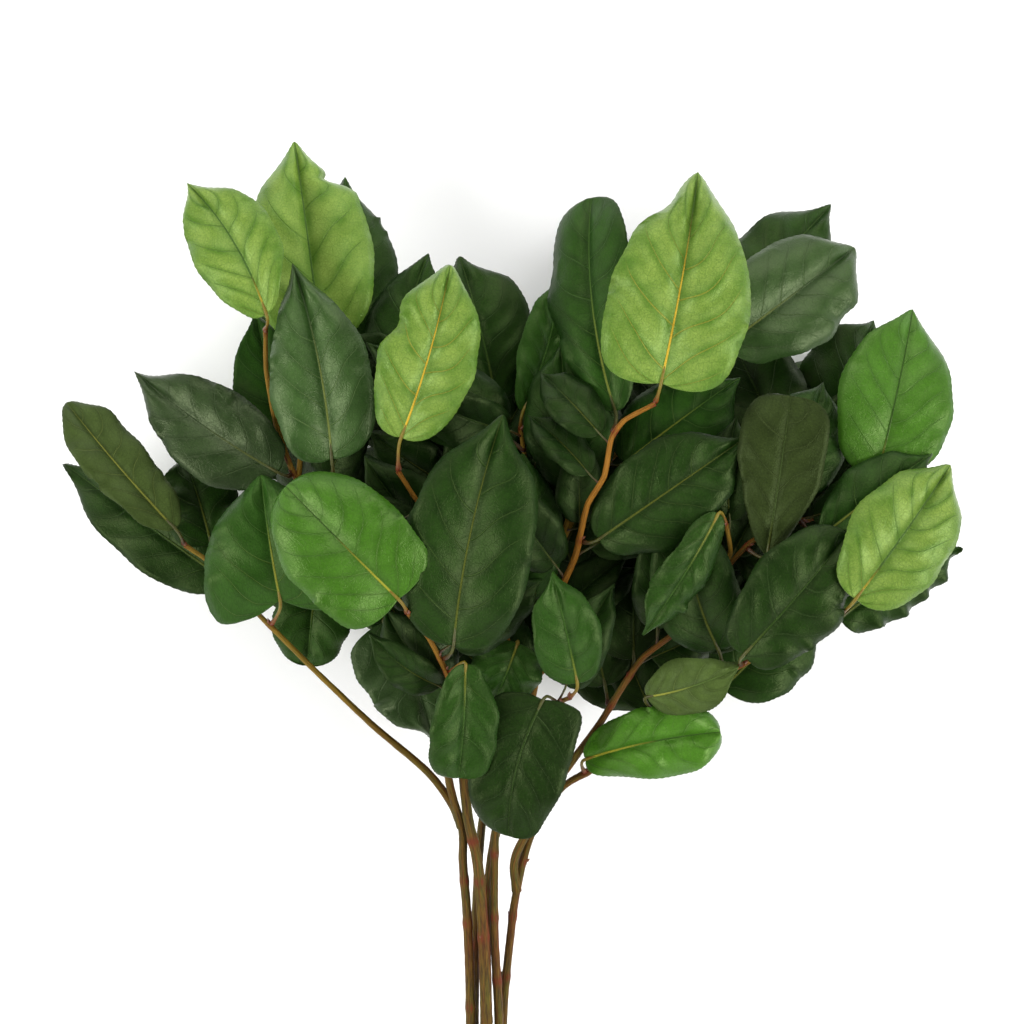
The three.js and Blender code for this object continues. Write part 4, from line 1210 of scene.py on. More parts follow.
class SALAL_OT_twigs(bpy.types.Operator):
    """Sweeps each stem and its shoots as round, slightly knotted bark with pale cut ends"""

    bl_idname = "salal.twigs"
    bl_label = "Stems and twigs"

    def tree(self):
        """A geometry tree that sweeps lines of points as round twigs with uneven bark."""
        tree, given, result = new_geometry_tree("salal_twig", [
            ("Sides", "NodeSocketInt"), ("Roughness", "NodeSocketFloat"), ("Bark", "NodeSocketMaterial")])
        curve = add_node(tree, "GeometryNodeMeshToCurve", {"Mesh": given["Geometry"]}).outputs[0]
        circle = add_node(
            tree, "GeometryNodeCurvePrimitiveCircle",
            {"Resolution": given["Sides"], "Radius": 1.0}).outputs[0]
        place = add_node(tree, "GeometryNodeInputPosition").outputs[0]
        section = add_node(
            tree, "GeometryNodeStoreNamedAttribute", {"Geometry": circle, "Name": "round", "Value": place},
            data_type="FLOAT_VECTOR", domain="POINT").outputs[0]
        radius = add_node(
            tree, "GeometryNodeInputNamedAttribute", {"Name": "radius"}, data_type="FLOAT").outputs[0]
        swept = add_node(tree, "GeometryNodeCurveToMesh", {
            "Curve": curve, "Profile Curve": section, "Scale": radius, "Fill Caps": True}).outputs[0]
        # Bumps of 4 mm.
        noise = add_node(
            tree, "ShaderNodeTexNoise", {"Vector": place, "Scale": 260.0, "Detail": 2.0}).outputs["Fac"]
        centred = add_node(tree, "ShaderNodeMath", {0: noise, 1: 0.5}, operation="SUBTRACT").outputs[0]
        depth = add_node(
            tree, "ShaderNodeMath", {0: centred, 1: given["Roughness"]}, operation="MULTIPLY").outputs[0]
        normal = add_node(tree, "GeometryNodeInputNormal").outputs[0]
        push = add_node(
            tree, "ShaderNodeVectorMath", {0: normal, "Scale": depth}, operation="SCALE").outputs[0]
        moved = add_node(tree, "GeometryNodeSetPosition", {"Geometry": swept, "Offset": push}).outputs[0]
        real = add_node(tree, "GeometryNodeRealizeInstances", {"Geometry": moved}).outputs[0]
        painted = add_node(
            tree, "GeometryNodeSetMaterial", {"Geometry": real, "Material": given["Bark"]}).outputs[0]
        tree.links.new(painted, result)
        return tree

    def execute(self, context):
        sizes = context.scene.salal_twigs
        runs = twig_runs(sizes.step)
        tree = self.tree()
        values = {"Sides": sizes.sides, "Roughness": sizes.bark_relief, "Bark": material_of("bark")}
        cut_below = CAD_BOX[0].y + CUT_ZONE
        for stem in STEM_NODES:
            name = stem.replace("stem", "twigs")
            line = stem_line(name, [run for run in runs if run["stem"] == stem], sizes)
            piece = grown(name, line, tree, values)
            mesh = piece.data
            mesh.shade_smooth()
            mesh.materials.clear()
            for polygon in mesh.polygons:
                if len(polygon.vertices) > 4 and polygon.center.y < cut_below:
                    polygon.material_index = 1
                    polygon.use_smooth = False
            finish_piece(piece, [material_of("bark"), material_of("cut wood")], [stem])
        return {"FINISHED"}


# ---- Inner leaves ----

# Corners of the part of the bunch, seen from above, that is closed with leaves, in millimetres from the
# middle of the cut ends' line.
CLOSED_ZONE = [
    (-104, 300), (-90, 345), (-86, 395), (-57, 410), (-24, 424), (4, 402), (31, 410), (46, 445), (100, 434),
    (143, 430), (148, 398), (180, 368), (184, 312), (150, 290), (118, 256), (96, 247), (72, 240), (50, 239),
    (37, 245), (31, 256), (20, 256), (0, 256), (-22, 250), (-40, 246), (-56, 276), (-80, 284)]
# Places where a twig shows between the leaves, so no inner leaf lies over them.
SHOWN_TWIGS = [
    (58, 366, 103), (53, 358, 101), (49, 342, 97), (43, 332, 92), (-45, 362, 98), (-41, 352, 98),
    (-37, 342, 98), (-33, 334, 95), (-43, 296, 100), (-33, 283, 100), (-26, 274, 94), (66, 263, 70),
    (60, 256, 67)]
# The inner leaves are copies of a few leaves of this size, in metres.
PROTOTYPES = 5
PROTOTYPE_LENGTH = 0.062
PROTOTYPE_WIDTH = 0.034
PROTOTYPE_STALK = 0.009
# Inner leaves are this much darker than their finish: painted shade for their place deep in the bunch.
INNER_SHADE = 0.45
# Inner leaves grow above this height along the bunch, in millimetres from the cut ends, and above the table.
LOWEST_JOINT = 228
LOWEST_LEAF = 4 * MM
# No inner leaf comes nearer to a shown twig than this, seen from above, unless it is this far under it.
SHOWN_AROUND = 6 * MM
SHOWN_BELOW = -3 * MM
# In the first share of the tries a leaf has to cover at least so many bare cells.
CHOOSY_SHARE = 0.8
CHOOSY_CELLS = 3


def in_zone(points):
    """Whether each point, seen from above, is inside the closed zone."""
    corners = in_frame(CLOSED_ZONE)
    inside = np.zeros(len(points), bool)
    for a, b in zip(corners, np.roll(corners, -1, axis=0)):
        crosses = (a[1] > points[:, 1]) != (b[1] > points[:, 1])
        at = a[0] + (points[:, 1] - a[1]) / (b[1] - a[1] + 1e-12) * (b[0] - a[0])
        inside ^= crosses & (points[:, 0] < at)
    return inside


def prototype_form(number):
    """A plain arched leaf along +Y with its stalk starting at the origin, as read_leaf gives a leaf."""
    rng = random.Random(f"prototype {number}")
    place = np.linspace(0, 1, 8)
    length, width = PROTOTYPE_LENGTH, PROTOTYPE_WIDTH
    arch = rng.uniform(0.05, 0.12) * length * 4 * place * (1 - place)
    side = rng.uniform(-0.05, 0.05) * length * 4 * place * (1 - place)
    middle = np.stack([side, PROTOTYPE_STALK + place * length, arch], axis=1)
    half = (width / 2 * outline(place[1:-1]))[:, None]
    fold = math.radians(rng.uniform(4, 14))
    return {
        "stalk": np.array([(0, share * PROTOTYPE_STALK, 0) for share in (0, 0.33, 0.66, 1)]),
        "place": place,
        "middle": middle,
        "left": half * [-math.cos(fold), 0, math.sin(fold)],
        "right": half * [math.cos(fold), 0, math.sin(fold)],
        "normal": np.tile([0.0, 0.0, 1.0], (8, 1)),
        "length": length,
    }


def coarse_leaf(origin, turn, scale):
    """A few points and faces of a prototype in place, for finding room for it, and its plan points."""
    t = np.linspace(0.03, 0.98, 9)
    v = np.linspace(-1, 1, 5)
    half = PROTOTYPE_WIDTH / 2 * outline(t, 0.55, 0.6)
    x = half[:, None] * v
    y = np.broadcast_to((PROTOTYPE_STALK + t * PROTOTYPE_LENGTH)[:, None], x.shape)
    z = 0.08 * PROTOTYPE_LENGTH * 4 * (t * (1 - t))[:, None] + 0.15 * np.abs(x)
    local = np.stack([x, y, z], axis=-1).reshape(-1, 3) * scale
    points = local @ turn.T + origin
    index = np.arange(len(points)).reshape(x.shape)
    quads = np.stack([index[:-1, :-1], index[:-1, 1:], index[1:, 1:], index[1:, :-1]], axis=-1).reshape(-1, 4)
    lift = turn[:, 2] * 0.7 * MM
    both = np.vstack([points + lift, points - lift])
    faces = [tuple(q) for q in quads.tolist()] + [tuple(i + len(points) for i in q) for q in quads.tolist()]
    return both, faces, points


def tried_leaf(run, i, rng):
    """Where a leaf that is tried at a point of a twig starts, its three axes as columns and its size."""
    forward = unit(run["points"][i] - run["points"][i - 1])
    swing = math.radians(rng.choice((-1, 1)) * rng.uniform(0, 85))
    level = unit([forward[0], forward[1], 0])
    aim = unit([
        level[0] * math.cos(swing) - level[1] * math.sin(swing),
        level[0] * math.sin(swing) + level[1] * math.cos(swing),
        math.tan(math.radians(rng.uniform(-32, 38)))])
    side = unit(np.cross(aim, (0, 0, 1)))
    roll = math.radians(rng.uniform(-28, 28))
    up = np.cross(side, aim) * math.cos(roll) + side * math.sin(roll)
    long = rng.uniform(0.55, 1.3)
    size = (long * rng.uniform(0.85, 1.1), long, long)
    origin = run["points"][i] + aim * run["radius"][i] * 0.8
    return origin, np.stack([np.cross(aim, up), aim, up], axis=1), size


def bare_cells(cell):
    """Cells of the closed zone that no leaf of the frame covers, and the height of the twig seen in each."""
    leaves = all_walls(LEAF_NODES)
    stems = all_walls(STEM_NODES)
    corners = in_frame(CLOSED_ZONE)
    low, high = corners.min(0), corners.max(0)
    grid = np.stack(np.meshgrid(*[np.arange(a, b, cell) for a, b in zip(low, high)]), axis=-1).reshape(-1, 2)
    bare = {}
    for point in grid[in_zone(grid)]:
        above, down = Vector((*point, 0.5)), Vector((0, 0, -1))
        if leaves.ray_cast(above, down)[0] is None:
            twig = stems.ray_cast(above, down)[0]
            bare[tuple(np.floor(point / cell).astype(int))] = twig.z if twig else 0.0
    return bare


def out_of_place(both, plan, shown, highest):
    """Whether a leaf lies too low or high, outside the closed zone or over a twig that shows."""
    if both[:, 2].min() < LOWEST_LEAF or both[:, 2].max() > highest or in_zone(plan).mean() < 0.95:
        return True
    apart = plan[:, None] - shown[None]
    beside = np.linalg.norm(apart[..., :2], axis=2) < SHOWN_AROUND
    return (beside & (apart[..., 2] > SHOWN_BELOW)).any()


def find_room(sizes):
    """Joints, axes and sizes of leaves that touch nothing, the ones that cover bare places first."""
    rng = random.Random(sizes.seed)
    taken = [all_walls(SLOTS)]
    bare = bare_cells(sizes.cell)
    shown = in_frame(SHOWN_TWIGS)
    lowest = (LOWEST_JOINT + CUT_MIDDLE[1]) * MM
    starts = [
        (run, i) for run in twig_runs(3 * MM) for i in range(4, len(run["points"]))
        if run["points"][i][1] > lowest]
    found = []
    for attempt in range(sizes.tries):
        run, i = rng.choice(starts)
        origin, turn, size = tried_leaf(run, i, rng)
        both, faces, plan = coarse_leaf(origin, turn, size)
        if out_of_place(both, plan, shown, sizes.highest):
            continue
        places = zip(map(tuple, np.floor(plan[:, :2] / sizes.cell).astype(int)), plan[:, 2])
        covers = {place for place, height in places if height > bare.get(place, 1.0)}
        if attempt < sizes.tries * CHOOSY_SHARE and len(covers) < CHOOSY_CELLS:
            continue
        shape = BVHTree.FromPolygons([tuple(p) for p in both], faces)
        if any(shape.overlap(other) for other in taken):
            continue
        taken.append(shape)
        for place in covers:
            del bare[place]
        found.append({
            "origin": origin, "aim": turn[:, 1], "up": turn[:, 2], "size": size,
            "kind": rng.randrange(PROTOTYPES)})
        if len(found) >= sizes.most:
            break
    return found


class SALAL_OT_inner_leaves(bpy.types.Operator):
    """Fills the inside of the bunch with leaves that grow from the twigs wherever there is room for one"""

    bl_idname = "salal.inner_leaves"
    bl_label = "Inner leaves"

    def tree(self, prototypes):
        """A geometry tree that sets a turned and sized prototype on each point; Skin is its upper skin."""
        tree, given, result = new_geometry_tree("salal_inner_leaves", [("Skin", "NodeSocketMaterial")])
        joined = add_node(tree, "GeometryNodeJoinGeometry")
        for prototype in reversed(prototypes):
            shape = add_node(tree, "GeometryNodeObjectInfo", {"Object": prototype, "As Instance": True})
            tree.links.new(shape.outputs["Geometry"], joined.inputs[0])
        aim, up, size, kind = (
            add_node(tree, "GeometryNodeInputNamedAttribute", {"Name": label}, data_type=values).outputs[0]
            for label, values in (
                ("aim", "FLOAT_VECTOR"), ("up", "FLOAT_VECTOR"), ("size", "FLOAT_VECTOR"), ("kind", "INT")))
        turn = add_node(
            tree, "FunctionNodeAxesToRotation", {"Primary Axis": aim, "Secondary Axis": up},
            primary_axis="Y", secondary_axis="Z").outputs[0]
        placed = add_node(tree, "GeometryNodeInstanceOnPoints", {
            "Points": given["Geometry"], "Instance": joined.outputs[0], "Pick Instance": True,
            "Instance Index": kind, "Rotation": turn, "Scale": size}).outputs[0]
        real = add_node(tree, "GeometryNodeRealizeInstances", {"Geometry": placed}).outputs[0]
        number = add_node(tree, "GeometryNodeInputMaterialIndex").outputs[0]
        top = add_node(
            tree, "FunctionNodeCompare", {2: number, 3: 0}, data_type="INT", operation="EQUAL").outputs[0]
        painted = add_node(
            tree, "GeometryNodeSetMaterial",
            {"Geometry": real, "Selection": top, "Material": given["Skin"]}).outputs[0]
        tree.links.new(painted, result)
        return tree

    def execute(self, context):
        found = find_room(context.scene.salal_inner)
        if not found:
            raise RuntimeError("no room was found for an inner leaf")
        prototypes = []
        for number in range(PROTOTYPES):
            form = prototype_form(number)
            traits = leaf_traits(f"inner {number}", form)
            # Painted shade: the inner leaves are darkened.
            traits["tone"] -= INNER_SHADE
            built = build_leaf(form, traits, context.scene.salal_leaves, None, INNER_STEPS)
            prototypes.append(leaf_object(f"prototype_{number}", built, traits, "leaf_dark"))
        joints = new_object("inner_leaves", [leaf["origin"] for leaf in found])
        for label, kind in (
            ("aim", "FLOAT_VECTOR"), ("up", "FLOAT_VECTOR"), ("size", "FLOAT_VECTOR"), ("kind", "INT")
        ):
            store(joints.data, label, [leaf[label] for leaf in found], kind)
        piece = grown("inner_leaves", joints, self.tree(prototypes), {"Skin": material_of("leaf_dark")})
        piece.data.shade_smooth()
        for prototype in prototypes:
            bpy.data.objects.remove(prototype)
        finish_piece(piece, [])
        return {"FINISHED"}


# ---- Buds ----

# A bud's outline: heights along it and radii, in millimetres.
BUD_HEIGHTS = np.linspace(-0.6, 2.6, 8)
BUD_RADII = np.array([0.3, 0.75, 0.9, 0.85, 0.68, 0.45, 0.22, 0.04])
BUD_SIDES = 8


def bud_places(runs):
    """Places, directions and sizes of the buds by the stalks and at the scars of the bare stems."""
    rng = random.Random("salal buds")
    places, aims, scales = [], [], []
    for run in runs:
        points = run["points"]
        for place, out in run["joints"]:
            after = min(place + 1, len(points) - 1)
            forward = unit(points[after] - points[after - 1])
            outward = unit(out - forward * (out @ forward) + 1e-6)
            places.append(points[after] + outward * run["radius"][after] * 0.8)
            aims.append(unit(outward * 0.9 + forward))
            scales.append(rng.uniform(0.7, 1.15))
        scars = [] if run["forked"] else SCARS[run["stem"]]
        for place in scars:
            i = int(np.abs(run["own"] - place * MM).argmin())
            forward = unit(points[i + 1] - points[i])
            outward = unit(np.cross(forward, unit([rng.uniform(-1, 1), 0.1, rng.uniform(-1, 1)])))
            places.append(points[i] + outward * run["radius"][i] * 0.9)
            aims.append(unit(outward * 0.8 + forward))
            scales.append(rng.uniform(0.5, 0.9))
    return places, aims, scales


class SALAL_OT_buds(bpy.types.Operator):
    """Sets a small pointed bud in the angle between each stalk and its twig, and at each bare stem's scars"""

    bl_idname = "salal.buds"
    bl_label = "Buds"

    def tree(self):
        """A geometry tree that sets a turned and sized bud on each point."""
        tree, given, result = new_geometry_tree("salal_buds", [
            ("Bud", "NodeSocketObject"), ("Skin", "NodeSocketMaterial")])
        shape = add_node(tree, "GeometryNodeObjectInfo", {"Object": given["Bud"], "As Instance": True})
        aim, size = (
            add_node(tree, "GeometryNodeInputNamedAttribute", {"Name": label}, data_type=values).outputs[0]
            for label, values in (("aim", "FLOAT_VECTOR"), ("size", "FLOAT")))
        turn = add_node(tree, "FunctionNodeAlignRotationToVector", {"Vector": aim}, axis="Z").outputs[0]
        placed = add_node(tree, "GeometryNodeInstanceOnPoints", {
            "Points": given["Geometry"], "Instance": shape.outputs["Geometry"], "Rotation": turn,
            "Scale": size}).outputs[0]
        real = add_node(tree, "GeometryNodeRealizeInstances", {"Geometry": placed}).outputs[0]
        painted = add_node(
            tree, "GeometryNodeSetMaterial", {"Geometry": real, "Material": given["Skin"]}).outputs[0]
        tree.links.new(painted, result)
        return tree

    def execute(self, context):
        places, aims, scales = bud_places(twig_runs(context.scene.salal_twigs.step))
        line = np.stack([BUD_HEIGHTS * 0, BUD_HEIGHTS * 0, BUD_HEIGHTS], axis=1) * MM
        normals = np.tile([0.0, 1.0, 0.0], (len(line), 1))
        points, faces = tube(line, normals, BUD_RADII * MM, BUD_SIDES)
        bud = new_object("bud", points, faces=faces)
        bud.data.shade_smooth()
        joints = new_object("buds", places)
        store(joints.data, "aim", aims, "FLOAT_VECTOR")
        store(joints.data, "size", scales)
        piece = grown("buds", joints, self.tree(), {"Bud": bud, "Skin": material_of("bud")})
        bpy.data.objects.remove(bud)
        finish_piece(piece, [])
        return {"FINISHED"}


# ---- Twine ----

# Points along each turn of twine, close enough for its twist to stay smooth, and corners of its section.
TWINE_STEPS = 200
TWINE_CORNERS = 18
STRANDS = 3
# Directions from the stems' middle in which the twine's distance is measured on the frame's band, which is
# this thick, in metres.
BAND_DIRECTIONS = 72
BAND_THICKNESS = 1.3 * MM


def twine_path(sizes):
    """Points along the wound twine, round the stems where the frame's band is; its ends are tucked under."""
    band, _ = join_corners("tie")
    centre = band.mean(0)
    slopes = []
    for run in twig_runs(4 * MM):
        if not run["forked"]:
            points = run["points"]
            i = np.abs(points[:, 1] - centre[1]).argmin()
            slopes.append(points[i + 1] - points[i])
    axis = unit(np.mean(slopes, axis=0))
    side = unit(np.cross(axis, (0, 0, 1)))
    up = np.cross(side, axis)

    angles = np.linspace(0, 2 * np.pi, BAND_DIRECTIONS, endpoint=False)
    near = band[np.abs((band - centre) @ axis) < 10 * MM]
    flat = np.stack([(near - centre) @ side, (near - centre) @ up], axis=1)
    outside = np.array([(flat @ [math.cos(a), math.sin(a)]).max() for a in angles])
    support = outside - BAND_THICKNESS + sizes.radius
    turn = np.linspace(0, sizes.turns * 2 * np.pi, sizes.turns * TWINE_STEPS)
    path = []
    for a in turn:
        away = np.cos(a - angles)
        reach = min(s / c for s, c in zip(support, away) if c > 0.3)
        along = (a / turn[-1] - 0.5) * (sizes.turns - 1) * 2 * sizes.radius * 1.02
        tuck = 0.9 * sizes.radius * max(0.0, 1 - min(a, turn[-1] - a) / 0.5)
        path.append(centre + axis * along + (side * math.cos(a) + up * math.sin(a)) * (reach - tuck))
    return path


class SALAL_OT_twine(bpy.types.Operator):
    """Winds twisted natural twine round the stems in the place of the frame's tie"""

    bl_idname = "salal.twine"
    bl_label = "Twine"

    def tree(self):
        """A geometry tree that sweeps a line of points as twisted strands; Lay is the length of one twist."""
        tree, given, result = new_geometry_tree("salal_twine", [
            ("Radius", "NodeSocketFloat"), ("Lay", "NodeSocketFloat"), ("Fibre", "NodeSocketMaterial")])
        curve = add_node(tree, "GeometryNodeMeshToCurve", {"Mesh": given["Geometry"]}).outputs[0]
        run = add_node(tree, "GeometryNodeSplineParameter").outputs["Length"]
        turns = add_node(tree, "ShaderNodeMath", {0: run, 1: given["Lay"]}, operation="DIVIDE").outputs[0]
        tilt = add_node(tree, "ShaderNodeMath", {0: turns, 1: 2 * math.pi}, operation="MULTIPLY").outputs[0]
        twisted = add_node(tree, "GeometryNodeSetCurveTilt", {"Curve": curve, "Tilt": tilt}).outputs[0]

        # The section is a circle with a lobe for each strand, and it stores how much painted shade each point
        # gets, most in its grooves.
        circle = add_node(
            tree, "GeometryNodeCurvePrimitiveCircle", {"Resolution": TWINE_CORNERS, "Radius": 1.0}).outputs[0]
        number = add_node(tree, "GeometryNodeInputIndex").outputs[0]
        angle = add_node(
            tree, "ShaderNodeMath", {0: number, 1: STRANDS * 2 * math.pi / TWINE_CORNERS},
            operation="MULTIPLY").outputs[0]
        lobe = add_node(tree, "ShaderNodeMath", {0: angle}, operation="COSINE").outputs[0]
        reach = add_node(
            tree, "ShaderNodeMath", {0: lobe, 1: 0.14, 2: 0.86}, operation="MULTIPLY_ADD").outputs[0]
        place = add_node(tree, "GeometryNodeInputPosition").outputs[0]
        spot = add_node(
            tree, "ShaderNodeVectorMath", {0: place, "Scale": reach}, operation="SCALE").outputs[0]
        lobed = add_node(tree, "GeometryNodeSetPosition", {"Geometry": circle, "Position": spot}).outputs[0]
        depth = add_node(
            tree, "ShaderNodeMath", {0: lobe, 1: -0.5, 2: 0.3}, operation="MULTIPLY_ADD").outputs[0]
        section = add_node(
            tree, "GeometryNodeStoreNamedAttribute", {"Geometry": lobed, "Name": "groove", "Value": depth},
            data_type="FLOAT", domain="POINT").outputs[0]

        swept = add_node(tree, "GeometryNodeCurveToMesh", {
            "Curve": twisted, "Profile Curve": section, "Scale": given["Radius"],
            "Fill Caps": True}).outputs[0]
        real = add_node(tree, "GeometryNodeRealizeInstances", {"Geometry": swept}).outputs[0]
        painted = add_node(
            tree, "GeometryNodeSetMaterial", {"Geometry": real, "Material": given["Fibre"]}).outputs[0]
        tree.links.new(painted, result)
        return tree

    def execute(self, context):
        sizes = context.scene.salal_twine
        path = twine_path(sizes)
        line = new_object("twine", path, [(i, i + 1) for i in range(len(path) - 1)])
        values = {"Radius": sizes.radius, "Lay": sizes.lay, "Fibre": material_of("twine")}
        piece = grown("twine", line, self.tree(), values)
        piece.data.shade_smooth()
        finish_piece(piece, [], ["tie"])
        return {"FINISHED"}


# ---- Stage ----

# Half the floor's size, in metres.
FLOOR_HALF = 3.0
# The soft lights: place and size in metres, and power beside the left one's.
SOFTBOXES = {
    "softbox_left": ((-0.9, -0.15, 0.8), 0.6, 1.0),
    "softbox_right": ((0.9, -0.2, 0.75), 0.6, 1.1),
    "softbox_back": ((0.1, 1.0, 0.8), 0.8, 0.6),
}
# The camera's distance is measured from this share of the bunch's height.
LEVEL_OF_VIEW = 0.67
SENSOR_WIDTH = 36


class SALAL_OT_stage(bpy.types.Operator):
    """Lays a pale floor and sets soft lights and the camera that looks straight down on the leaves"""

    bl_idname = "salal.stage"
    bl_label = "Stage"

    def floor(self):
        """Plain studio paper: matt, and so white that it only shows the bunch's shadow."""
        corners = [(x * FLOOR_HALF, y * FLOOR_HALF, 0) for x, y in ((-1, -1), (1, -1), (1, 1), (-1, 1))]
        floor = new_object("floor", corners, faces=[(0, 1, 2, 3)])
        white = chosen_colour("paper")
        material, _, shader = new_material("white_studio_paper", white)
        shader.inputs["Base Color"].default_value = white
        shader.inputs["Roughness"].default_value = 0.9
        shader.inputs["Specular IOR Level"].default_value = 0.1
        floor.data.materials.append(material)

    def surroundings(self, stage):
        """Pale walls all round and a darker ceiling: flat leaves keep their colour and bent edges shine."""
        world = bpy.data.worlds.new("soft_studio")
        world.use_nodes = True
        tree = world.node_tree
        toward = add_node(tree, "ShaderNodeTexCoord").outputs["Generated"]
        height = add_node(tree, "ShaderNodeSeparateXYZ", {0: toward}).outputs["Z"]
        glow = add_node(tree, "ShaderNodeMapRange", {
            "Value": height, "From Min": 0.25, "From Max": 0.9, "To Min": stage.fill,
            "To Max": stage.ceiling}, interpolation_type="SMOOTHSTEP").outputs[0]
        tree.links.new(glow, tree.nodes["Background"].inputs["Strength"])
        tree.nodes["Background"].inputs["Color"].default_value = linear("#ffffff")
        return world

    def execute(self, context):
        scene = context.scene
        stage = scene.salal_stage
        self.floor()
        scene.world = self.surroundings(stage)
        for name, (place, size, share) in SOFTBOXES.items():
            light = bpy.data.lights.new(name, "AREA")
            light.shape = "SQUARE"
            light.size = size
            light.energy = stage.key * share
            lamp = bpy.data.objects.new(name, light)
            lamp.location = place
            lamp.rotation_euler = (-Vector(place)).to_track_quat("-Z", "Y").to_euler()
            scene.collection.objects.link(lamp)

        top = CAD_BOX[1]
        view = bpy.data.cameras.new("camera")
        view.sensor_width = SENSOR_WIDTH
        view.lens = SENSOR_WIDTH * stage.distance / stage.view_width
        view.clip_end = 20
        camera = bpy.data.objects.new("camera", view)
        camera.location = (stage.aim[0], top.y - stage.aim[1], stage.distance + LEVEL_OF_VIEW * top.z)
        scene.collection.objects.link(camera)
        scene.camera = camera
        scene.view_settings.view_transform = "Standard"
        return {"FINISHED"}


# ---- Add-on ----


class SalalLeafSettings(bpy.types.PropertyGroup):
    """Sizes of every leaf"""

    thickness: FloatProperty(
        name="Thickness", description="The blade's thickness", default=0.45 * MM, min=0.2 * MM, unit="LENGTH")
    quilting: FloatProperty(
        name="Quilting", description="Height of the swelling between the side veins", default=0.9 * MM,
        unit="LENGTH")
    teeth: FloatProperty(
        name="Teeth", description="Depth of the edge's fine teeth", default=0.22 * MM, unit="LENGTH")
    stalk: FloatProperty(name="Stalk", description="Radius of a stalk", default=0.95 * MM, unit="LENGTH")
    rooting: FloatProperty(
        name="Rooting", description="How far a stalk reaches into its twig", default=1.3 * MM, unit="LENGTH")


class SalalTwigSettings(bpy.types.PropertyGroup):
    """Sizes of the stems, the twigs and their bark"""

    step: FloatProperty(
        name="Step", description="Spacing of the cross sections", default=1.4 * MM, min=0.5 * MM,
        unit="LENGTH")
    sides: IntProperty(name="Sides", description="Corners of a cross section", default=16, min=8)
    knot_length: FloatProperty(
        name="Knot length", description="Half length of a knot", default=2.0 * MM, unit="LENGTH")
    knot_swelling: FloatProperty(
        name="Knot swelling", description="Share by which a knot is thicker", default=0.15, subtype="FACTOR",
        min=0, max=1)
    bark_relief: FloatProperty(
        name="Bark relief", description="Unevenness of the bark", default=0.35 * MM, unit="LENGTH")


class SalalInnerSettings(bpy.types.PropertyGroup):
    """How the inside of the bunch is filled"""

    seed: IntProperty(name="Seed", description="Chooses where the inner leaves are tried", default=7)
    tries: IntProperty(name="Tries", description="Number of places tried", default=24000)
    most: IntProperty(name="Most", description="Largest number of inner leaves", default=110)
    cell: FloatProperty(
        name="Cell", description="Size of a bare place that a leaf should cover", default=5 * MM,
        unit="LENGTH")
    highest: FloatProperty(
        name="Highest", description="Top of the inner leaves above the table", default=100 * MM,
        unit="LENGTH")


class SalalTwineSettings(bpy.types.PropertyGroup):
    """Sizes of the twine"""

    radius: FloatProperty(
        name="Radius", description="The twine's radius", default=0.75 * MM, min=0.3 * MM, unit="LENGTH")
    turns: IntProperty(name="Turns", description="Turns round the stems", default=5, min=2)
    lay: FloatProperty(
        name="Lay", description="Length of one twist of the strands", default=5 * MM, unit="LENGTH")


def colour_property(name, description, hex_colour):
    """A colour that a user may choose."""
    return FloatVectorProperty(
        name=name, description=description, default=linear(hex_colour), size=4, subtype="COLOR", min=0, max=1)


class SalalColours(bpy.types.PropertyGroup):
    """Main colours of the bunch; each leaf's is the green that the painted highlight on the pillows between
    its veins rises to
    """

    leaf_dark: colour_property("Dark leaves", "Most leaves, and all inner ones", "#1e3b0e")
    leaf_grey: colour_property("Grey leaves", "Dark leaves with a grey sheen", "#2c431d")
    leaf_mid: colour_property("Middle leaves", "Leaves between dark and bright", "#294b16")
    leaf_bright: colour_property("Bright leaves", "Leaves of a strong green", "#3a6417")
    leaf_light: colour_property("Light leaves", "The palest, youngest leaves", "#778f3e")
    leaf_olive: colour_property("Olive leaves", "Leaves that turn brownish", "#35431d")
    leaf_under: colour_property("Lowest leaves", "The leaves that lie on the table", "#233814")
    underside: colour_property("Undersides", "Mottling of every leaf's underside", "#566d36")
    old_bark: colour_property("Old bark", "Ridges of the stems' bark", "#674b12")
    young_bark: colour_property("Young bark", "Ridges of the twigs' bark", "#82701f")
    warm_bark: colour_property("Orange bark", "Ridges of the most orange twigs' bark", "#9a681c")
    bud: colour_property("Buds", "Pale grain of the bud scales", "#7a4220")
    cut_wood: colour_property("Cut wood", "Pale grain of the cut ends", "#b3a274")
    twine: colour_property("Twine", "Pale grain of the twine", "#a8936a")
    paper: colour_property("Paper", "The floor", "#fefefd")


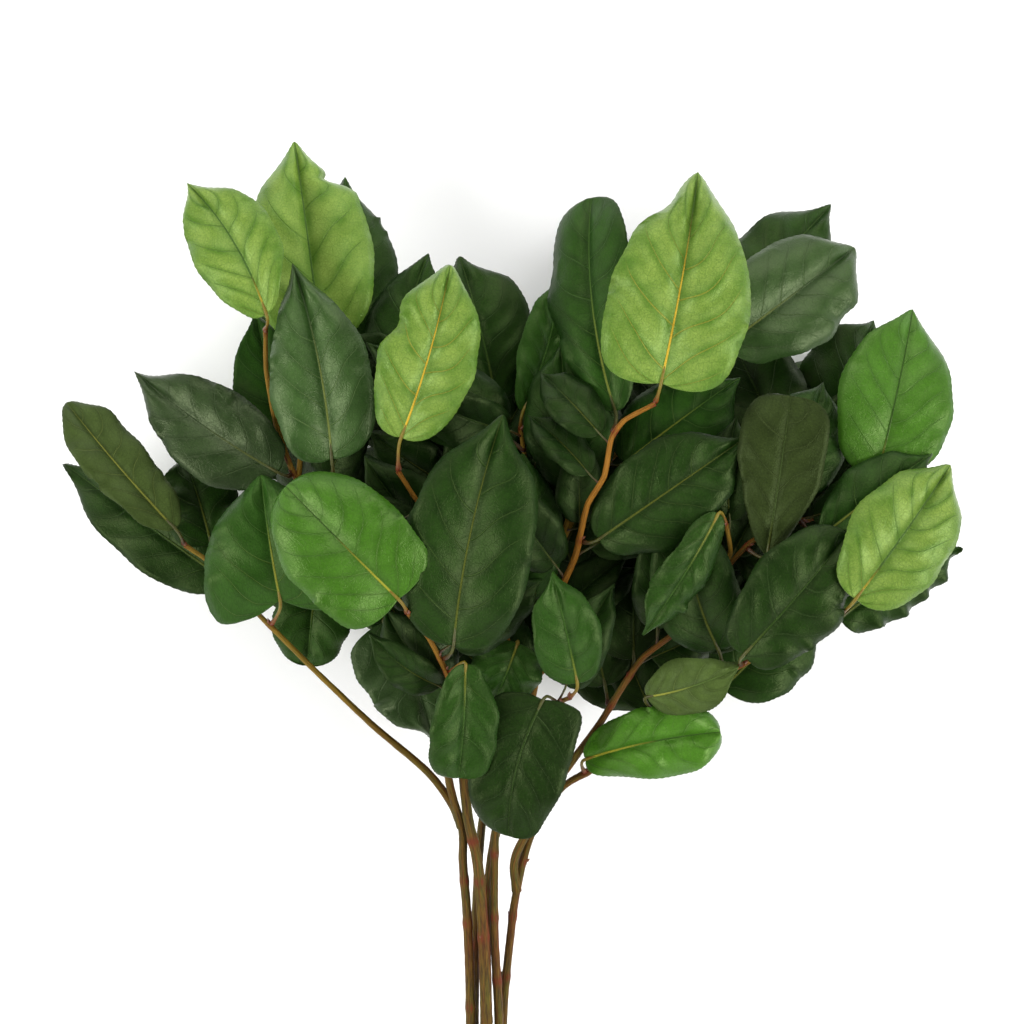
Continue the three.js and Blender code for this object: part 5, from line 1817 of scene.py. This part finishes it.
class SalalStageSettings(bpy.types.PropertyGroup):
    """The camera's view and the strength of the light"""

    distance: FloatProperty(name="Distance", description="Height of the camera", default=2.5, unit="LENGTH")
    view_width: FloatProperty(name="View width", description="Width of the view", default=0.43, unit="LENGTH")
    aim: FloatVectorProperty(
        name="Aim", description="Middle of the view: from the origin and below the top leaf tip", size=2,
        default=(0.0005, 0.1578), unit="LENGTH")
    fill: FloatProperty(name="Fill", description="Strength of the even light from the walls", default=1.5)
    ceiling: FloatProperty(name="Ceiling", description="Strength of the light from right above", default=0.3)
    key: FloatProperty(
        name="Key", description="Power of the left soft light, which the others follow", default=10.0,
        unit="POWER")


class SALAL_PT_panel(bpy.types.Panel):
    """The bunch's settings and its operators, in the order in which they run"""

    bl_idname = "SALAL_PT_panel"
    bl_label = "Preserved salal bunch"
    bl_space_type = "VIEW_3D"
    bl_region_type = "UI"
    bl_category = "Salal"

    def draw(self, context):
        scene = context.scene
        for settings, operators in (
            (scene.salal_leaves, ("salal.leaves",)),
            (scene.salal_twigs, ("salal.twigs", "salal.buds")),
            (scene.salal_inner, ("salal.inner_leaves",)),
            (scene.salal_twine, ("salal.twine",)),
            (scene.salal_colours, ()),
            (scene.salal_stage, ("salal.stage",)),
        ):
            box = self.layout.box()
            for key in settings.__annotations__:
                box.prop(settings, key)
            for operator in operators:
                box.operator(operator)


SETTINGS = {
    "salal_leaves": SalalLeafSettings,
    "salal_twigs": SalalTwigSettings,
    "salal_inner": SalalInnerSettings,
    "salal_twine": SalalTwineSettings,
    "salal_colours": SalalColours,
    "salal_stage": SalalStageSettings,
}
OPERATORS = (
    SALAL_OT_leaves, SALAL_OT_twigs, SALAL_OT_buds, SALAL_OT_inner_leaves, SALAL_OT_twine, SALAL_OT_stage)
CLASSES = (*SETTINGS.values(), *OPERATORS, SALAL_PT_panel)


def register():
    """Makes the settings, the operators and the panel known"""
    for cls in CLASSES:
        bpy.utils.register_class(cls)
    for name, cls in SETTINGS.items():
        setattr(bpy.types.Scene, name, PointerProperty(type=cls))


def unregister():
    """Takes them away again"""
    for name in SETTINGS:
        delattr(bpy.types.Scene, name)
    for cls in reversed(CLASSES):
        bpy.utils.unregister_class(cls)


def main():
    """Builds the bunch and its stage in the frame"""
    register()
    for operator in OPERATORS:
        group, name = operator.bl_idname.split(".")
        getattr(getattr(bpy.ops, group), name)()


if __name__ == "__main__":
    main()
